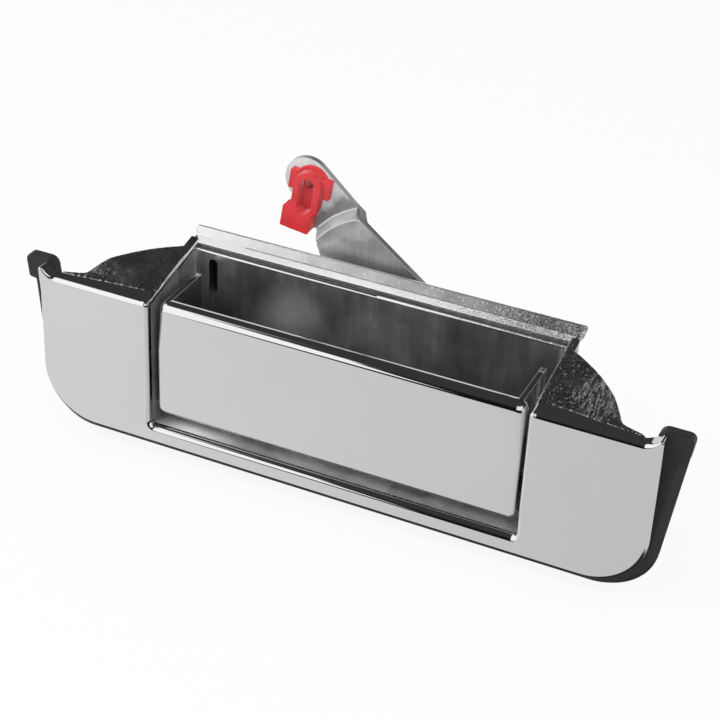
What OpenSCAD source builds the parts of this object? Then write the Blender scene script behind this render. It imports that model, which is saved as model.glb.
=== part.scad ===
// Pull handle for a pickup tailgate: a chromed casting with a hinged paddle,
// and a bell crank at the back that pulls two latch rods.
// X runs along the handle, Y into the tailgate and Z up. The origin lies midway
// between the two mounting studs, on the outer face of the tailgate skin.

/* [Bezel] */
// Width of the bezel
bezel_w = 215; // [205:1:225]
// Height of the bezel from its lower edge to its top edge
bezel_h = 55; // [53:0.5:58]
// Height of the bezel's top edge above the studs
bezel_top = 20.5; // [18:0.5:23]
// Radius of the bezel's lower corners
bezel_corner_r = 20; // [14:0.5:22]
// Depth of the bezel's rim
bezel_depth = 5; // [4.5:0.1:6]
// Wall of the bezel's face and rim
bezel_wall = 2.6; // [2.2:0.1:3]
// Rounding of the bezel's front edges
bezel_edge_r = 2; // [1:0.1:2.2]
// Height that the top edge sweeps up at its ends
horn_rise = 2.2; // [1:0.1:3]
// Length of that upward sweep
horn_run = 6; // [4:0.5:9]

/* [Finger pocket] */
// Width of the opening for the paddle
opening_w = 132; // [126:1:138]
// Height of the bar below the opening
bar_h = 7.5; // [7:0.5:10]
// Depth of the pocket behind the bezel's face
pocket_d = 32.5; // [29:0.5:36]
// Wall of the pocket's sides and rear
pocket_wall = 3; // [2.5:0.1:3.5]
// Thickness of the pocket's floor
floor_t = 2.6; // [2:0.1:3]
// Rise of the side walls from front to rear
pocket_rise = 7; // [4:0.5:9]
// Overhang of the rear rail past the side walls
rail_overhang = 0.8; // [0.5:0.1:2]
// Depth of the rear rail behind the pocket's inner face
rail_d = 8.5; // [7:0.1:8.8]
// Height of the rear rail's lip above the side walls
rail_h = 3.3; // [2:0.1:4]
// Depth of the bezel's top ledge
ledge_d = 7; // [6:0.5:9]
// Rise of the top ledge towards the wings
ledge_rise = 1.2; // [0.8:0.1:1.6]
// Thickness of the two side wings
wing_t = 3; // [2.6:0.1:3.4]
// Reach of each wing beyond the pocket's opening
wing_w = 27.6; // [24:0.1:29]
// Radius of each wing's curved rear edge
wing_r = 72; // [60:1:80]
// Dome of each wing above a flat shelf
wing_dome = 2; // [0:0.1:2.5]

/* [Gasket and studs] */
// Thickness of the rubber gasket
gasket_t = 4; // [3:0.1:5]
// Width of the gasket's band
gasket_band = 8.6; // [8:0.1:9]
// Outward slope of the gasket's edge over its thickness
gasket_flare = 2.8; // [1:0.1:3.2]
// Radius of the gasket's lower corners
gasket_corner_r = 20; // [16:0.5:22]
// Distance of the gasket's outer edge below the bezel
gasket_drop = 4.2; // [4:0.1:5]
// Distance of the gasket's outer edge beside the bezel's lower corners
gasket_side_gap = 2.6; // [2.5:0.1:4]
// Distance of the gasket's ears beyond the bezel
ear_reach = 7.3; // [6:0.1:8]
// Height of the gasket's ears above the bezel's top edge
ear_h = 3; // [2.5:0.1:5]
// Width of each ear
ear_w = 11; // [9:0.5:13]
// Length of each ear below the bezel's top edge
ear_len = 6; // [4:0.5:9]
// Corner rounding of each ear
ear_r = 2.5; // [1.5:0.1:3]
// Distance between the two mounting studs
stud_pitch = 170; // [166:1:174]
// Diameter of the studs
stud_d = 6; // [5:0.5:8]
// Length of the studs beyond the tailgate skin
stud_len = 22; // [15:1:30]
// Extra radius of the stud's shank inside its boss
stud_shank = 0.4; // [0.2:0.1:0.8]
// Diameter of the stud bosses
stud_boss_d = 14; // [12:0.5:16]

/* [Paddle] */
// Gap at each side of the paddle's plate
paddle_gap = 2.4; // [1.5:0.1:3]
// Gap below the paddle's plate
paddle_foot_gap = 5.6; // [5:0.1:6.5]
// Drop of the paddle's top edge below the bezel's
paddle_drop = 0.5; // [0:0.1:1.5]
// Distance of the paddle's face behind the bezel's face
paddle_inset = 2.7; // [2:0.1:3.5]
// Thickness of the paddle's plate
paddle_t = 2.4; // [2:0.1:3]
// Radius of the rolled top edge
paddle_lip_r = 3.2; // [2.6:0.1:4]
// Corner rounding of the paddle's plate
paddle_corner_r = 2.4; // [1:0.1:3]
// Rounding of the plate's lower edge
paddle_foot_r = 1.2; // [0.8:0.1:1.2]
// Inset of the cheeks from the plate's ends
cheek_inset = 1.4; // [1:0.1:2]
// Thickness of the cheeks
cheek_t = 2; // [1.6:0.1:2.4]
// Gap between the cheeks and the rear wall
cheek_rear_gap = 6; // [5:0.1:9]
// Distance of the hinge axis behind the paddle's face
hinge_back = 8.3; // [8:0.1:9]
// Height of the hinge axis above the plate's lower edge
hinge_rise = 3.9; // [3.5:0.1:4.5]
// Diameter of the hinge pin
pin_d = 4; // [3:0.5:5]
// Radius of the hinge eyes
eye_r = 5.5; // [5:0.1:6]
// Wall of the hinge bushes
bush_wall = 1.1; // [0.8:0.1:1.4]
// Length of the pin beyond its retaining clips
pin_tail = 1.4; // [1:0.1:2.5]
// Thickness of the pin's retaining clips
pin_clip_t = 0.8; // [0.6:0.1:1.2]
// Width of those clips' ring
pin_clip_w = 2.2; // [1.8:0.1:2.6]
// Height of the rubber bump stops
bump_h = 5.4; // [4:0.1:5.4]
// Length of each bump stop
bump_l = 6; // [4:0.5:8]

/* [Drive arm] */
// Thickness of the steel drive arm
arm_t = 2; // [1.5:0.1:2.5]
// Height of the drive arm's finger
arm_h = 5.2; // [5:0.1:6]
// Drop of the finger's tip below the hinge axis
arm_drop = 8; // [7:0.5:8.5]
// Length of the level finger in front of the bell crank
arm_level = 2; // [1:0.5:3]
// Diameter of the drive arm's rivets
arm_rivet_d = 3; // [2.5:0.1:4]
// Distance from the hinge to the arm's rivets, back and up
arm_lobe = 9; // [8:0.5:10]
// Width of the slot in the rear wall
slot_w = 3.2; // [3:0.1:4.5]
// Distance of the slot's top below the rear wall's top edge
slot_top_gap = 4.2; // [3:0.1:12]
// Wall of the slot's dust cover
cover_wall = 1.6; // [1.2:0.1:2.2]
// Depth of the dust cover
cover_d = 7; // [5:0.1:7.4]
// Width of the cover's screw ears
cover_ear_w = 9; // [7:0.5:11]
// Thickness of those ears
cover_ear_t = 2; // [1.6:0.1:2.6]
// Thread diameter of the cover's screws
cover_screw_d = 4; // [3:0.5:4.5]

/* [Bell crank] */
// Thickness of the bell crank's sheet
lever_t = 2; // [1.5:0.1:2.5]
// Gap between the rear wall and the bell crank
lever_standoff = 8.5; // [8.3:0.1:11]
// Height of the bell crank's pivot above the studs
pivot_z = 14; // [12:0.5:15]
// Sideways distance from the pivot to a rod hole
rod_dx = 30.5; // [27:0.5:33]
// Height from the pivot to a rod hole
rod_dz = 38.3; // [37:0.1:41]
// Sideways distance from a rod hole to its rounded tip's centre
tip_shift = 2; // [0:0.1:2.5]
// Radius of the rounded tips
tip_r = 8.2; // [7.5:0.1:9]
// Half width of the arms beyond the joggle, measured at the pivot
arm_root_r = 11.5; // [10:0.5:12]
// Distance from the arm's line to the hub plate's straight edge
hub_edge = 18.4; // [17:0.1:20]
// Offset step of the arms at the joggle
joggle = 4; // [3:0.1:5]
// Radius of the joggle's arc round the pivot
joggle_r = 33.2; // [31:0.1:34]
// Depth of the folded lifting tab
tab_d = 8; // [7:0.1:10]
// Length of the lifting tab
tab_len = 22; // [20:0.5:24]
// Gap between the lifting tab and the drive arm at rest
tab_gap = 0.4; // [0.3:0.05:0.8]
// Diameter of the pivot's bearing shoulder
pivot_d = 8; // [7:0.1:9]
// Diameter of the pivot's boss on the rear wall
pivot_boss_d = 14; // [12:0.5:15]
// Thickness of the washer under the pivot's head
washer_t = 0.8; // [0.6:0.1:1.2]
// Width of that washer's ring
washer_w = 4; // [3:0.5:5]

/* [Rod clips] */
// Diameter of the latch rods
rod_d = 4; // [3:0.1:4.5]
// Wall of each clip's barrel
clip_wall = 1.8; // [1.4:0.1:2.2]
// Radius of each clip's flange
clip_flange_r = 6.2; // [5.8:0.1:6.8]
// Thickness of each clip's flange
clip_flange_t = 1.5; // [1.2:0.1:2]
// Height of each clip's loop above its flange
loop_h = 3.2; // [2.6:0.1:4]
// Distance from the rod hole to the loop's lower end
loop_len = 7; // [6:0.1:8]
// Width of each clip's hook
hook_w = 10.8; // [10:0.1:12]
// Height of each clip's hook
hook_h = 5.4; // [5:0.1:6.4]
// Tilt of the clip on the upper arm
clip_tilt = 8; // [0:1:15]

/* [Springs] */
// Wire of the paddle's spring
paddle_wire_d = 1.4; // [1.2:0.1:1.5]
// Mean radius of the paddle spring's coil
paddle_coil_r = 4.9; // [4.7:0.1:4.9]
// Full curls in the paddle's spring
paddle_curls = 6; // [4:1:8]
// Wire of the bell crank's spring
lever_wire_d = 1.4; // [1:0.1:1.5]
// Mean radius of the bell crank spring's coil
lever_coil_r = 9; // [8.5:0.1:10]
// Full curls in the bell crank's spring
lever_curls = 2; // [1:1:2]

/* [Hidden] */
$fn = 64;

// Clearances between pieces that turn, that are fixed, and that pass each other
run_gap = 0.05;
seat_gap = 0.02;
side_gap = 0.25;
// Overlap that makes two shapes of one piece a single solid
lap = 0.6;

// Planes of the casting
face_y = -gasket_t - bezel_depth;
rim_y = -gasket_t;
bezel_bottom = bezel_top - bezel_h;
opening_h = bezel_h - bar_h;
floor_z = bezel_top - opening_h;
half_w = bezel_w / 2;
open_x = opening_w / 2;
wall_x = open_x + pocket_wall;
rear_y = face_y + pocket_d;
back_y = rear_y + pocket_wall;
wall_top = bezel_top - paddle_drop;
rear_top = wall_top + pocket_rise;
rise_angle = atan(pocket_rise / pocket_d);
wing_x = open_x + wing_w;

// Places of the gasket
gasket_bottom = bezel_bottom - gasket_drop;
gasket_x = half_w + ear_reach;
gasket_corner = [half_w + gasket_side_gap - gasket_corner_r, gasket_bottom + gasket_corner_r];
ear_top = bezel_top + ear_h;
ear_corner = [gasket_x - ear_r, bezel_top - ear_r];
gasket_reach = ear_corner - gasket_corner;
gasket_spread = norm(gasket_reach);
gasket_lean = acos((gasket_corner_r - ear_r) / gasket_spread) - atan(gasket_reach[1] / gasket_reach[0]);
gasket_out = [cos(gasket_lean), -sin(gasket_lean)];
stud_x = stud_pitch / 2;
stud_r = stud_d / 2;
stud_seat_y = face_y + bezel_wall / 2;

// Places of the paddle
paddle_y = face_y + paddle_inset;
paddle_x = open_x - paddle_gap;
paddle_top = bezel_top - paddle_drop;
paddle_bottom = floor_z + paddle_foot_gap;
cheek_x = paddle_x - cheek_inset;
cheek_rear = rear_y - cheek_rear_gap;
hinge_y = paddle_y + hinge_back;
hinge_z = paddle_bottom + hinge_rise;
pin_r = pin_d / 2;
bush_r = pin_r + run_gap + bush_wall;
bush_inner_x = cheek_x - cheek_t - arm_t;
hinge_boss_t = 2;
clip_x = wall_x + hinge_boss_t + side_gap;
pin_x = clip_x + pin_clip_t + pin_tail;
groove_r = pin_r - 0.45;
bump_top = floor_z + bump_h;
cheek_foot = bump_top + 0.2;

// Places of the drive arm and its slot
arm_x = -cheek_x + cheek_t;
slot_x = arm_x + arm_t / 2;
slot_top = rear_top - slot_top_gap;
lever_y = back_y + lever_standoff;
tip_y = lever_y + joggle;
arm_tip = [lever_y + lever_t + arm_h / 2, hinge_z - arm_drop];
arm_knee = [lever_y - arm_level, arm_tip[1]];
arm_rivet_r = arm_rivet_d / 2;
arm_rivet_places = [[hinge_y + arm_lobe, hinge_z + arm_lobe],
                    [hinge_y + arm_lobe / 9, hinge_z + arm_lobe * 4 / 3]];
cover_x = [-wall_x - 3, slot_x + 9];
cover_top = rear_top - 3;
cover_screw_r = cover_screw_d / 2;
cover_head_t = 1.1 * cover_screw_r;
cover_screw_places = [[cover_x[1] + cover_ear_w / 2, pivot_z + 1], [cover_x[1] + cover_ear_w / 2, floor_z + 5]];

// Places of the bell crank
pivot = [0, pivot_z];
rod_hole = [-rod_dx, rod_dz];
tip_centre = rod_hole - [tip_shift, 0];
arm_len = norm(tip_centre);
arm_side = [tip_centre[1], -tip_centre[0]] / arm_len;
tab_z = arm_tip[1] + arm_h / 2 + tab_gap - pivot_z;
tab_x = slot_x - 5.5;
input_r = 7;
input_end = [tab_x + input_r, tab_z + input_r];
notch_r = 20;
pivot_r = pivot_d / 2;
lever_bush_r = pivot_r + run_gap + bush_wall;
bush_flange_t = 1.2;
bush_flange_r = pivot_boss_d / 2;
boss_y = lever_y - side_gap - bush_flange_t - side_gap / 2;
rivet_head_t = 2;
rivet_tail_r = pivot_r - 1;
stop_peg_r = 2.5;
stop_r = 4;
stop_along = 27;
stop_place = stop_along * [-tip_centre[0], -tip_centre[1]] / arm_len
             + (tip_r + stop_r + side_gap) * arm_side;

// Sizes of the rod clips
rod_r = rod_d / 2;
rod_bore_r = rod_r + run_gap;
barrel_r = rod_bore_r + clip_wall;
rod_hole_r = barrel_r + run_gap;
barb_len = 2.2;
barb_step = 0.5;
loop_r = 4.9;
loop_hole_r = rod_bore_r + 0.5;

// Slab from y0 to y0 + t with a flat outline in the X-Z plane
module slab_y(y0, t) {
    translate([0, y0 + t, 0]) rotate([90, 0, 0]) linear_extrude(t) children();
}

// Slab from x0 to x0 + t with a flat outline in the Y-Z plane
module slab_x(x0, t) {
    translate([x0, 0, 0]) rotate([90, 0, 90]) linear_extrude(t) children();
}

// Round bar along X at a point [y, z]
module bar_x(place, r, x0, x1) {
    translate([x0, place[0], place[1]]) rotate([0, 90, 0]) cylinder(r = r, h = x1 - x0);
}

// Round bar along Y at a point [x, z]
module bar_y(place, r, y0, y1) {
    translate([place[0], y0, place[1]]) rotate([-90, 0, 0]) cylinder(r = r, h = y1 - y0);
}

// Straight sides between two round ends
module link(a, ra, b, rb) {
    along = (b - a) / norm(b - a);
    across = [-along[1], along[0]];
    lean = (ra - rb) / norm(b - a);
    left = along * lean + across * sqrt(1 - lean * lean);
    right = along * lean - across * sqrt(1 - lean * lean);
    polygon([a + left * ra, b + left * rb, b + right * rb, a + right * ra]);
}

// Flat arm that tapers between two round ends
module taper(a, ra, b, rb) {
    link(a, ra, b, rb);
    translate(a) circle(ra);
    translate(b) circle(rb);
}

// A rim section, x outwards and y to the rear, carried round a corner between two angles
module round_corner(centre, r, from, to) {
    translate([centre[0], 0, centre[1]]) rotate([-90, 0, 0]) rotate([0, 0, from])
        rotate_extrude(angle = to - from) translate([r, 0]) children();
}

// The same section carried straight from a point [x, z]; angle 0 faces +X and 90 faces -Z
module straight_edge(start, angle, length) {
    translate([start[0], 0, start[1]]) rotate([0, angle, 0]) linear_extrude(length) children();
}

// Both mirror images of a shape on the right side
module both_sides() {
    children();
    mirror([1, 0, 0]) children();
}

// Section of the bezel's rim: a face strip of width w, a rounded front edge and a side wall
module rim_section(w) {
    translate([-w, face_y]) square([w - bezel_edge_r, bezel_wall]);
    translate([-bezel_edge_r, face_y + bezel_edge_r]) circle(bezel_edge_r);
    translate([-bezel_wall, face_y + bezel_edge_r]) square([bezel_wall, bezel_depth - bezel_edge_r]);
}

// Section of the bezel's top ledge, with the same rounded front edge
module ledge_section(depth) {
    polygon([[-bezel_wall, face_y + bezel_edge_r], [0, face_y + bezel_edge_r],
             [ledge_rise * (depth - bezel_edge_r) / (ledge_d - bezel_edge_r), face_y + depth],
             [-bezel_wall, face_y + depth]]);
    translate([-bezel_edge_r, face_y + bezel_edge_r]) circle(bezel_edge_r);
    translate([-bezel_wall - lap, face_y]) square([bezel_wall + lap - bezel_edge_r, bezel_wall]);
}

// Filled section of a bezel edge with the same rounded front edge
module edge_section(w) {
    difference() {
        translate([-w, face_y]) square([w, bezel_depth]);
        difference() {
            translate([-bezel_edge_r, face_y - 1]) square([bezel_edge_r + 1, bezel_edge_r + 1]);
            translate([-bezel_edge_r, face_y + bezel_edge_r]) circle(bezel_edge_r);
        }
    }
}

// Right half of the bezel: side panel, lower corner, rim, top ledge and raised horn
module bezel_half() {
    inner_x = half_w - bezel_corner_r;
    corner_z = bezel_bottom + bezel_corner_r;
    side_h = bezel_top - corner_z;
    straight_edge([half_w, corner_z], 0, side_h - bezel_edge_r) rim_section(bezel_corner_r);
    round_corner([inner_x, corner_z], bezel_corner_r, 0, 90) rim_section(bezel_corner_r);
    straight_edge([open_x, bezel_bottom], 90, inner_x - open_x) rim_section(bezel_corner_r);
    straight_edge([0, bezel_bottom], 90, open_x + lap) rim_section(floor_z - bezel_bottom);
    slab_y(face_y, bezel_wall)
        translate([open_x, bezel_bottom + bezel_corner_r - lap])
            square([inner_x - open_x + lap, side_h + lap - bezel_edge_r]);
    straight_edge([half_w - horn_run, bezel_top], -90, half_w - horn_run - open_x) ledge_section(ledge_d);
    intersection() {
        union() {
            straight_edge([half_w, bezel_top], -90, horn_run + lap) ledge_section(bezel_depth);
            slab_y(face_y, bezel_depth) difference() {
                translate([half_w - horn_run, bezel_top - bezel_wall - lap])
                    square([horn_run, bezel_wall + lap + horn_rise]);
                translate([half_w - horn_run, bezel_top + horn_run]) circle(horn_run);
            }
        }
        straight_edge([half_w, bezel_top - bezel_h / 2], 0, bezel_h) edge_section(horn_run + 2 * lap);
    }
}

// Height of a wing's top at a point: level with the ledge, then rising and doming to the rear
function wing_top(x, y) =
    let (back = (y - face_y) / pocket_d, out = (x - open_x) / wing_w, start = ledge_d / pocket_d)
    wall_top + 0.2 + pocket_rise * back + wing_dome * out * min(1, max(0, 5 * (back - start)));

// Right wing: a shelf from the ledge to a curved rear edge
module wing() {
    steps = 8;
    front = [wing_x, rim_y - 0.4];
    rear = [wall_x + 0.8, rear_y - 3.3];
    chord = norm(rear - front);
    inward = [front[1] - rear[1], rear[0] - front[0]] / chord;
    centre = (front + rear) / 2 + inward * sqrt(wing_r * wing_r - chord * chord / 4);
    x0 = open_x + pocket_wall / 2;
    y0 = face_y + ledge_d - 1.5;
    x1 = centre[0] + sqrt(wing_r * wing_r - pow(y0 + 0.5 - centre[1], 2));
    places = [for (i = [0 : steps]) for (j = [0 : steps])
        let (x = x0 + (x1 - x0) * i / steps,
             y = y0 + (centre[1] + sqrt(wing_r * wing_r - pow(x - centre[0], 2)) - y0) * j / steps) [x, y]];
    tops = [for (p = places) [p[0], p[1], wing_top(p[0], p[1])]];
    feet = [for (p = tops) p - [0, 0, wing_t]];
    n = steps + 1;
    half = n * n;
    cells = [for (i = [0 : steps - 1]) for (j = [0 : steps - 1]) i * n + j];
    upper = [for (a = cells) for (t = [[a, a + 1, a + n + 1], [a, a + n + 1, a + n]]) t];
    lower = [for (t = upper) [half + t[0], half + t[2], half + t[1]]];
    ring = concat([for (i = [0 : steps - 1]) i * n], [for (j = [0 : steps - 1]) steps * n + j],
                  [for (i = [0 : steps - 1]) (steps - i) * n + steps], [for (j = [0 : steps - 1]) steps - j]);
    walls = [for (k = [0 : len(ring) - 1]) let (a = ring[k], b = ring[(k + 1) % len(ring)])
        for (t = [[a, b, half + b], [a, half + b, half + a]]) t];
    polyhedron(concat(tops, feet), concat(upper, lower, walls));
}

// Side wall of the pocket, with the hinge boss
module pocket_side() {
    slab_x(open_x, pocket_wall)
        polygon([[face_y, floor_z - floor_t], [back_y, floor_z - floor_t],
                 [back_y, rear_top], [face_y, wall_top]]);
    bar_x([hinge_y, hinge_z], eye_r, wall_x - lap, wall_x + hinge_boss_t);
}

// Rail along the top of the rear wall: a narrow shelf and an upturned lip
module rail() {
    intersection() {
        slab_x(-wall_x - rail_overhang, 2 * (wall_x + rail_overhang))
            translate([rear_y, rear_top]) polygon([[0, -4], [0, -0.5], [0.4, -0.1], [rail_d - 3.5, 0.6],
                [rail_d - 1.2, rail_h], [rail_d - 0.2, rail_h - 0.2], [rail_d, rail_h - 1.6],
                [rail_d - 1.5, -1], [rail_d - 4.2, -2.1], [pocket_wall, -2.6], [pocket_wall, -4]]);
        translate([0, 0, rear_top - 10]) linear_extrude(20)
            polygon([[-open_x, rear_y - 1], [open_x, rear_y - 1], [open_x + 0.4, rear_y],
                     [wall_x + rail_overhang, rear_y + rail_d], [-wall_x - rail_overhang, rear_y + rail_d],
                     [-open_x - 0.4, rear_y]]);
    }
}

module housing() color("silver") difference() {
    union() {
        both_sides() {
            bezel_half();
            wing();
            pocket_side();
            bar_y([stud_x, 0], stud_boss_d / 2, stud_seat_y, -side_gap);
        }
        translate([-wall_x, rear_y, floor_z - floor_t])
            cube([2 * wall_x, pocket_wall, rear_top - floor_z + floor_t - 0.8]);
        translate([-wall_x, face_y, floor_z - floor_t]) cube([2 * wall_x, pocket_d + pocket_wall, floor_t]);
        rail();
        bar_y(pivot, pivot_boss_d / 2, back_y - lap, boss_y);
        bar_y(pivot + stop_place, stop_peg_r, back_y - lap, lever_y + lever_t + side_gap);
    }
    bar_x([hinge_y, hinge_z], pin_r + seat_gap, -pin_x, pin_x);
    both_sides() bar_y([stud_x, 0], stud_r + stud_shank + seat_gap, face_y + bezel_wall, 0);
    bar_y(pivot, rivet_tail_r + seat_gap, rear_y + 1, boss_y + 1);
    for (place = cover_screw_places) bar_y(place, cover_screw_r + seat_gap, rear_y + 0.6, back_y + 1);
    translate([slot_x - slot_w / 2, rear_y - 1, floor_z])
        cube([slot_w, pocket_wall + 2, slot_top - slot_w / 2 - floor_z]);
    bar_y([slot_x, slot_top - slot_w / 2], slot_w / 2, rear_y - 1, back_y + 1);
    lever_spring_wall_hole();
}

// Stations along the gasket's right half, from the bottom to the ear's top.
// Each is [outer point, outward direction, flare, outer edge, inner edge].
gasket_up = [-gasket_out[1], gasket_out[0]];
gasket_side = gasket_corner + gasket_corner_r * gasket_out;
ear_start = (bezel_top - ear_len - gasket_side[1]) / gasket_up[1];
ear_end = (ear_top - gasket_side[1]) / gasket_up[1];
gasket_right = concat(
    [for (i = [0 : 14]) let (a = 90 - (90 - gasket_lean) * i / 14, out = [cos(a), -sin(a)])
        [gasket_corner + gasket_corner_r * out, out, gasket_flare, 0, -gasket_band]],
    [[gasket_side + gasket_up * ear_start, [1, 0], gasket_flare, 0, -gasket_band]],
    [[gasket_side + gasket_up * (ear_start + 0.5), [1, 0], 0, 0, -ear_w]],
    [for (a = [0 : 15 : 90])
        [gasket_side + gasket_up * (ear_end - ear_r + ear_r * sin(a)), [1, 0], 0,
         -ear_r * (1 - cos(a)), -ear_w + ear_r * (1 - cos(a))]]);
gasket_left = [for (i = [len(gasket_right) - 1 : -1 : 0]) let (s = gasket_right[i])
    [[-s[0][0], s[0][1]], [-s[1][0], s[1][1]], s[2], s[3], s[4]]];

// Corners of the gasket's section at one station
function gasket_ring(s) =
    let (a = s[0] + s[1] * s[4], b = s[0] + s[1] * (s[3] - s[2]), c = s[0] + s[1] * s[3])
    [[a[0], -gasket_t, a[1]], [b[0], -gasket_t, b[1]], [c[0], 0, c[1]], [a[0], 0, a[1]]];

// Rubber gasket: a flared band round the bezel's lower edge, with an ear at each top end
module gasket() color("dimgray") {
    stations = concat(gasket_left, gasket_right);
    points = [for (s = stations) for (p = gasket_ring(s)) p];
    last = 4 * (len(stations) - 1);
    skin = [for (i = [0 : len(stations) - 2]) for (k = [0 : 3])
        let (a = 4 * i + k, b = 4 * i + (k + 1) % 4)
        for (t = [[a, b + 4, b], [a, a + 4, b + 4]]) t];
    caps = [[0, 1, 2], [0, 2, 3], [last, last + 2, last + 1], [last, last + 3, last + 2]];
    polyhedron(points, concat(skin, caps));
}

module mounting_studs() color("gainsboro") both_sides() {
    bar_y([stud_x, 0], stud_r + stud_shank, face_y + bezel_wall, -side_gap);
    bar_y([stud_x, 0], stud_r, -side_gap - lap, stud_len - 1);
    translate([stud_x, stud_len - 1, 0]) rotate([-90, 0, 0]) cylinder(r1 = stud_r, r2 = stud_r - 1, h = 1);
}

// Section of the paddle's plate in the Y-Z plane, with its rolled top and rounded foot
module paddle_section() {
    translate([paddle_y, paddle_bottom + paddle_foot_r])
        square([paddle_t, paddle_top - paddle_lip_r - paddle_bottom - paddle_foot_r]);
    translate([paddle_y + paddle_foot_r, paddle_bottom + paddle_foot_r]) circle(paddle_foot_r);
    translate([paddle_y + paddle_foot_r, paddle_bottom]) square([paddle_t - paddle_foot_r, paddle_foot_r * 2]);
    intersection() {
        translate([paddle_y + paddle_lip_r, paddle_top - paddle_lip_r]) circle(paddle_lip_r);
        translate([paddle_y, paddle_top - paddle_lip_r - lap])
            square([paddle_lip_r, paddle_lip_r + lap]);
    }
}

// What the rounding of one corner of the paddle's plate takes off
module paddle_corner(x, z) {
    slab_y(paddle_y - 1, paddle_lip_r + 2) translate([x, z]) difference() {
        children();
        circle(paddle_corner_r);
    }
}

module paddle_cheek() {
    slab_x(cheek_x - cheek_t, cheek_t) {
        translate([hinge_y, hinge_z]) circle(eye_r);
        polygon([[paddle_y + paddle_t / 2, paddle_top - paddle_lip_r], [paddle_y + paddle_lip_r, paddle_top],
                 [cheek_rear, paddle_top], [cheek_rear, cheek_foot], [hinge_y, cheek_foot],
                 [hinge_y - eye_r, hinge_z], [paddle_y + paddle_t / 2, hinge_z]]);
    }
}

module paddle() color("silver") difference() {
    union() {
        difference() {
            slab_x(-paddle_x, 2 * paddle_x) paddle_section();
            both_sides() {
                paddle_corner(paddle_x - paddle_corner_r, paddle_top - paddle_corner_r) square(paddle_corner_r + 1);
                paddle_corner(paddle_x - paddle_corner_r, paddle_bottom + paddle_corner_r)
                    translate([0, -paddle_corner_r - 1]) square(paddle_corner_r + 1);
            }
        }
        both_sides() paddle_cheek();
        bar_x([hinge_y, hinge_z], eye_r, bush_inner_x, cheek_x - lap);
    }
    bar_x([hinge_y, hinge_z], bush_r + seat_gap, -open_x, open_x);
    for (place = arm_rivet_places) bar_x(place, arm_rivet_r + seat_gap, -open_x, arm_x + lap);
}

module hinge_bushes() color("ivory") both_sides() difference() {
    union() {
        bar_x([hinge_y, hinge_z], bush_r, bush_inner_x, cheek_x + side_gap);
        bar_x([hinge_y, hinge_z], eye_r, cheek_x + side_gap / 2, open_x - side_gap);
    }
    bar_x([hinge_y, hinge_z], pin_r + run_gap, 0, open_x);
}

module hinge_pin() color("gainsboro") difference() {
    bar_x([hinge_y, hinge_z], pin_r, -pin_x, pin_x);
    both_sides() difference() {
        bar_x([hinge_y, hinge_z], pin_r + 1, clip_x - seat_gap, clip_x + pin_clip_t + seat_gap);
        bar_x([hinge_y, hinge_z], groove_r, clip_x - 1, clip_x + pin_clip_t + 1);
    }
}

module pin_clips() color("gray") both_sides() slab_x(clip_x, pin_clip_t)
    translate([hinge_y, hinge_z]) difference() {
        circle(pin_r + pin_clip_w);
        circle(groove_r + seat_gap);
        translate([-groove_r, -pin_r - 2 * pin_clip_w]) square([2 * groove_r, pin_r + 2 * pin_clip_w]);
    }

module bump_stops() color("dimgray") both_sides()
    translate([cheek_x - cheek_t / 2, cheek_rear - bump_l - cheek_t / 2, floor_z])
        cube([open_x - cheek_x, bump_l, bump_h]);

// Steel arm on the left cheek: an eye on the hinge, a riveted lobe and a finger through the slot
module drive_arm() color("lightsteelblue") difference() {
    union() {
        slab_x(arm_x, arm_t) translate([hinge_y, hinge_z]) circle(eye_r);
        slab_x(arm_x, arm_t) taper([hinge_y, hinge_z], arm_h / 2, arm_knee, arm_h / 2);
        slab_x(arm_x, arm_t) taper(arm_knee, arm_h / 2, arm_tip, arm_h / 2);
        for (place = arm_rivet_places)
            slab_x(arm_x, arm_t) taper([hinge_y, hinge_z], arm_rivet_r + 2, place, arm_rivet_r + 2);
    }
    bar_x([hinge_y, hinge_z], bush_r + seat_gap, -open_x, 0);
    for (place = arm_rivet_places) bar_x(place, arm_rivet_r + seat_gap, -open_x, 0);
}

module arm_rivets() color("gainsboro") for (place = arm_rivet_places) {
    bar_x(place, arm_rivet_r, -cheek_x - 0.9, arm_x + arm_t + 0.9);
    for (x = [-cheek_x - 0.9, arm_x + arm_t]) bar_x(place, arm_rivet_r + 1.2, x, x + 0.9);
}

// Plastic dust cover behind the slot, with a slit for the finger and two screw ears
module slot_cover() color("dimgray") difference() {
    union() {
        translate([cover_x[0], back_y, floor_z - floor_t])
            cube([cover_x[1] - cover_x[0], cover_d, cover_top - floor_z + floor_t]);
        for (place = cover_screw_places) slab_y(back_y, cover_ear_t)
            taper([place[0] - cover_ear_w, place[1]], cover_ear_w / 2, place, cover_ear_w / 2);
    }
    translate([cover_x[0] + cover_wall, back_y - 1, floor_z - floor_t - 1])
        cube([cover_x[1] - cover_x[0] - 2 * cover_wall, cover_d + 1 - cover_wall,
              cover_top - floor_z + floor_t + 1 - cover_wall]);
    translate([slot_x - slot_w, back_y, floor_z - floor_t - 1])
        cube([2 * slot_w, cover_d + 1, floor_t + opening_h * 0.66]);
    for (place = cover_screw_places) bar_y(place, cover_screw_r + 0.3, back_y - 1, back_y + 3);
}

module cover_screws() color("gainsboro") for (place = cover_screw_places) {
    bar_y(place, cover_screw_r, rear_y + 0.8, back_y + cover_ear_t + lap);
    difference() {
        bar_y(place, 2 * cover_screw_r, back_y + cover_ear_t, back_y + cover_ear_t + cover_head_t);
        for (turn = [0, 90]) translate([place[0], back_y + cover_ear_t + cover_head_t, place[1]])
            rotate([0, turn, 0]) cube([2.4 * cover_screw_r, cover_screw_r, 0.4 * cover_screw_r], center = true);
    }
}

// Point of the bell crank at a distance along the upper arm and across to its right
function crank(along, across) = tip_centre / arm_len * along + arm_side * across;

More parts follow.
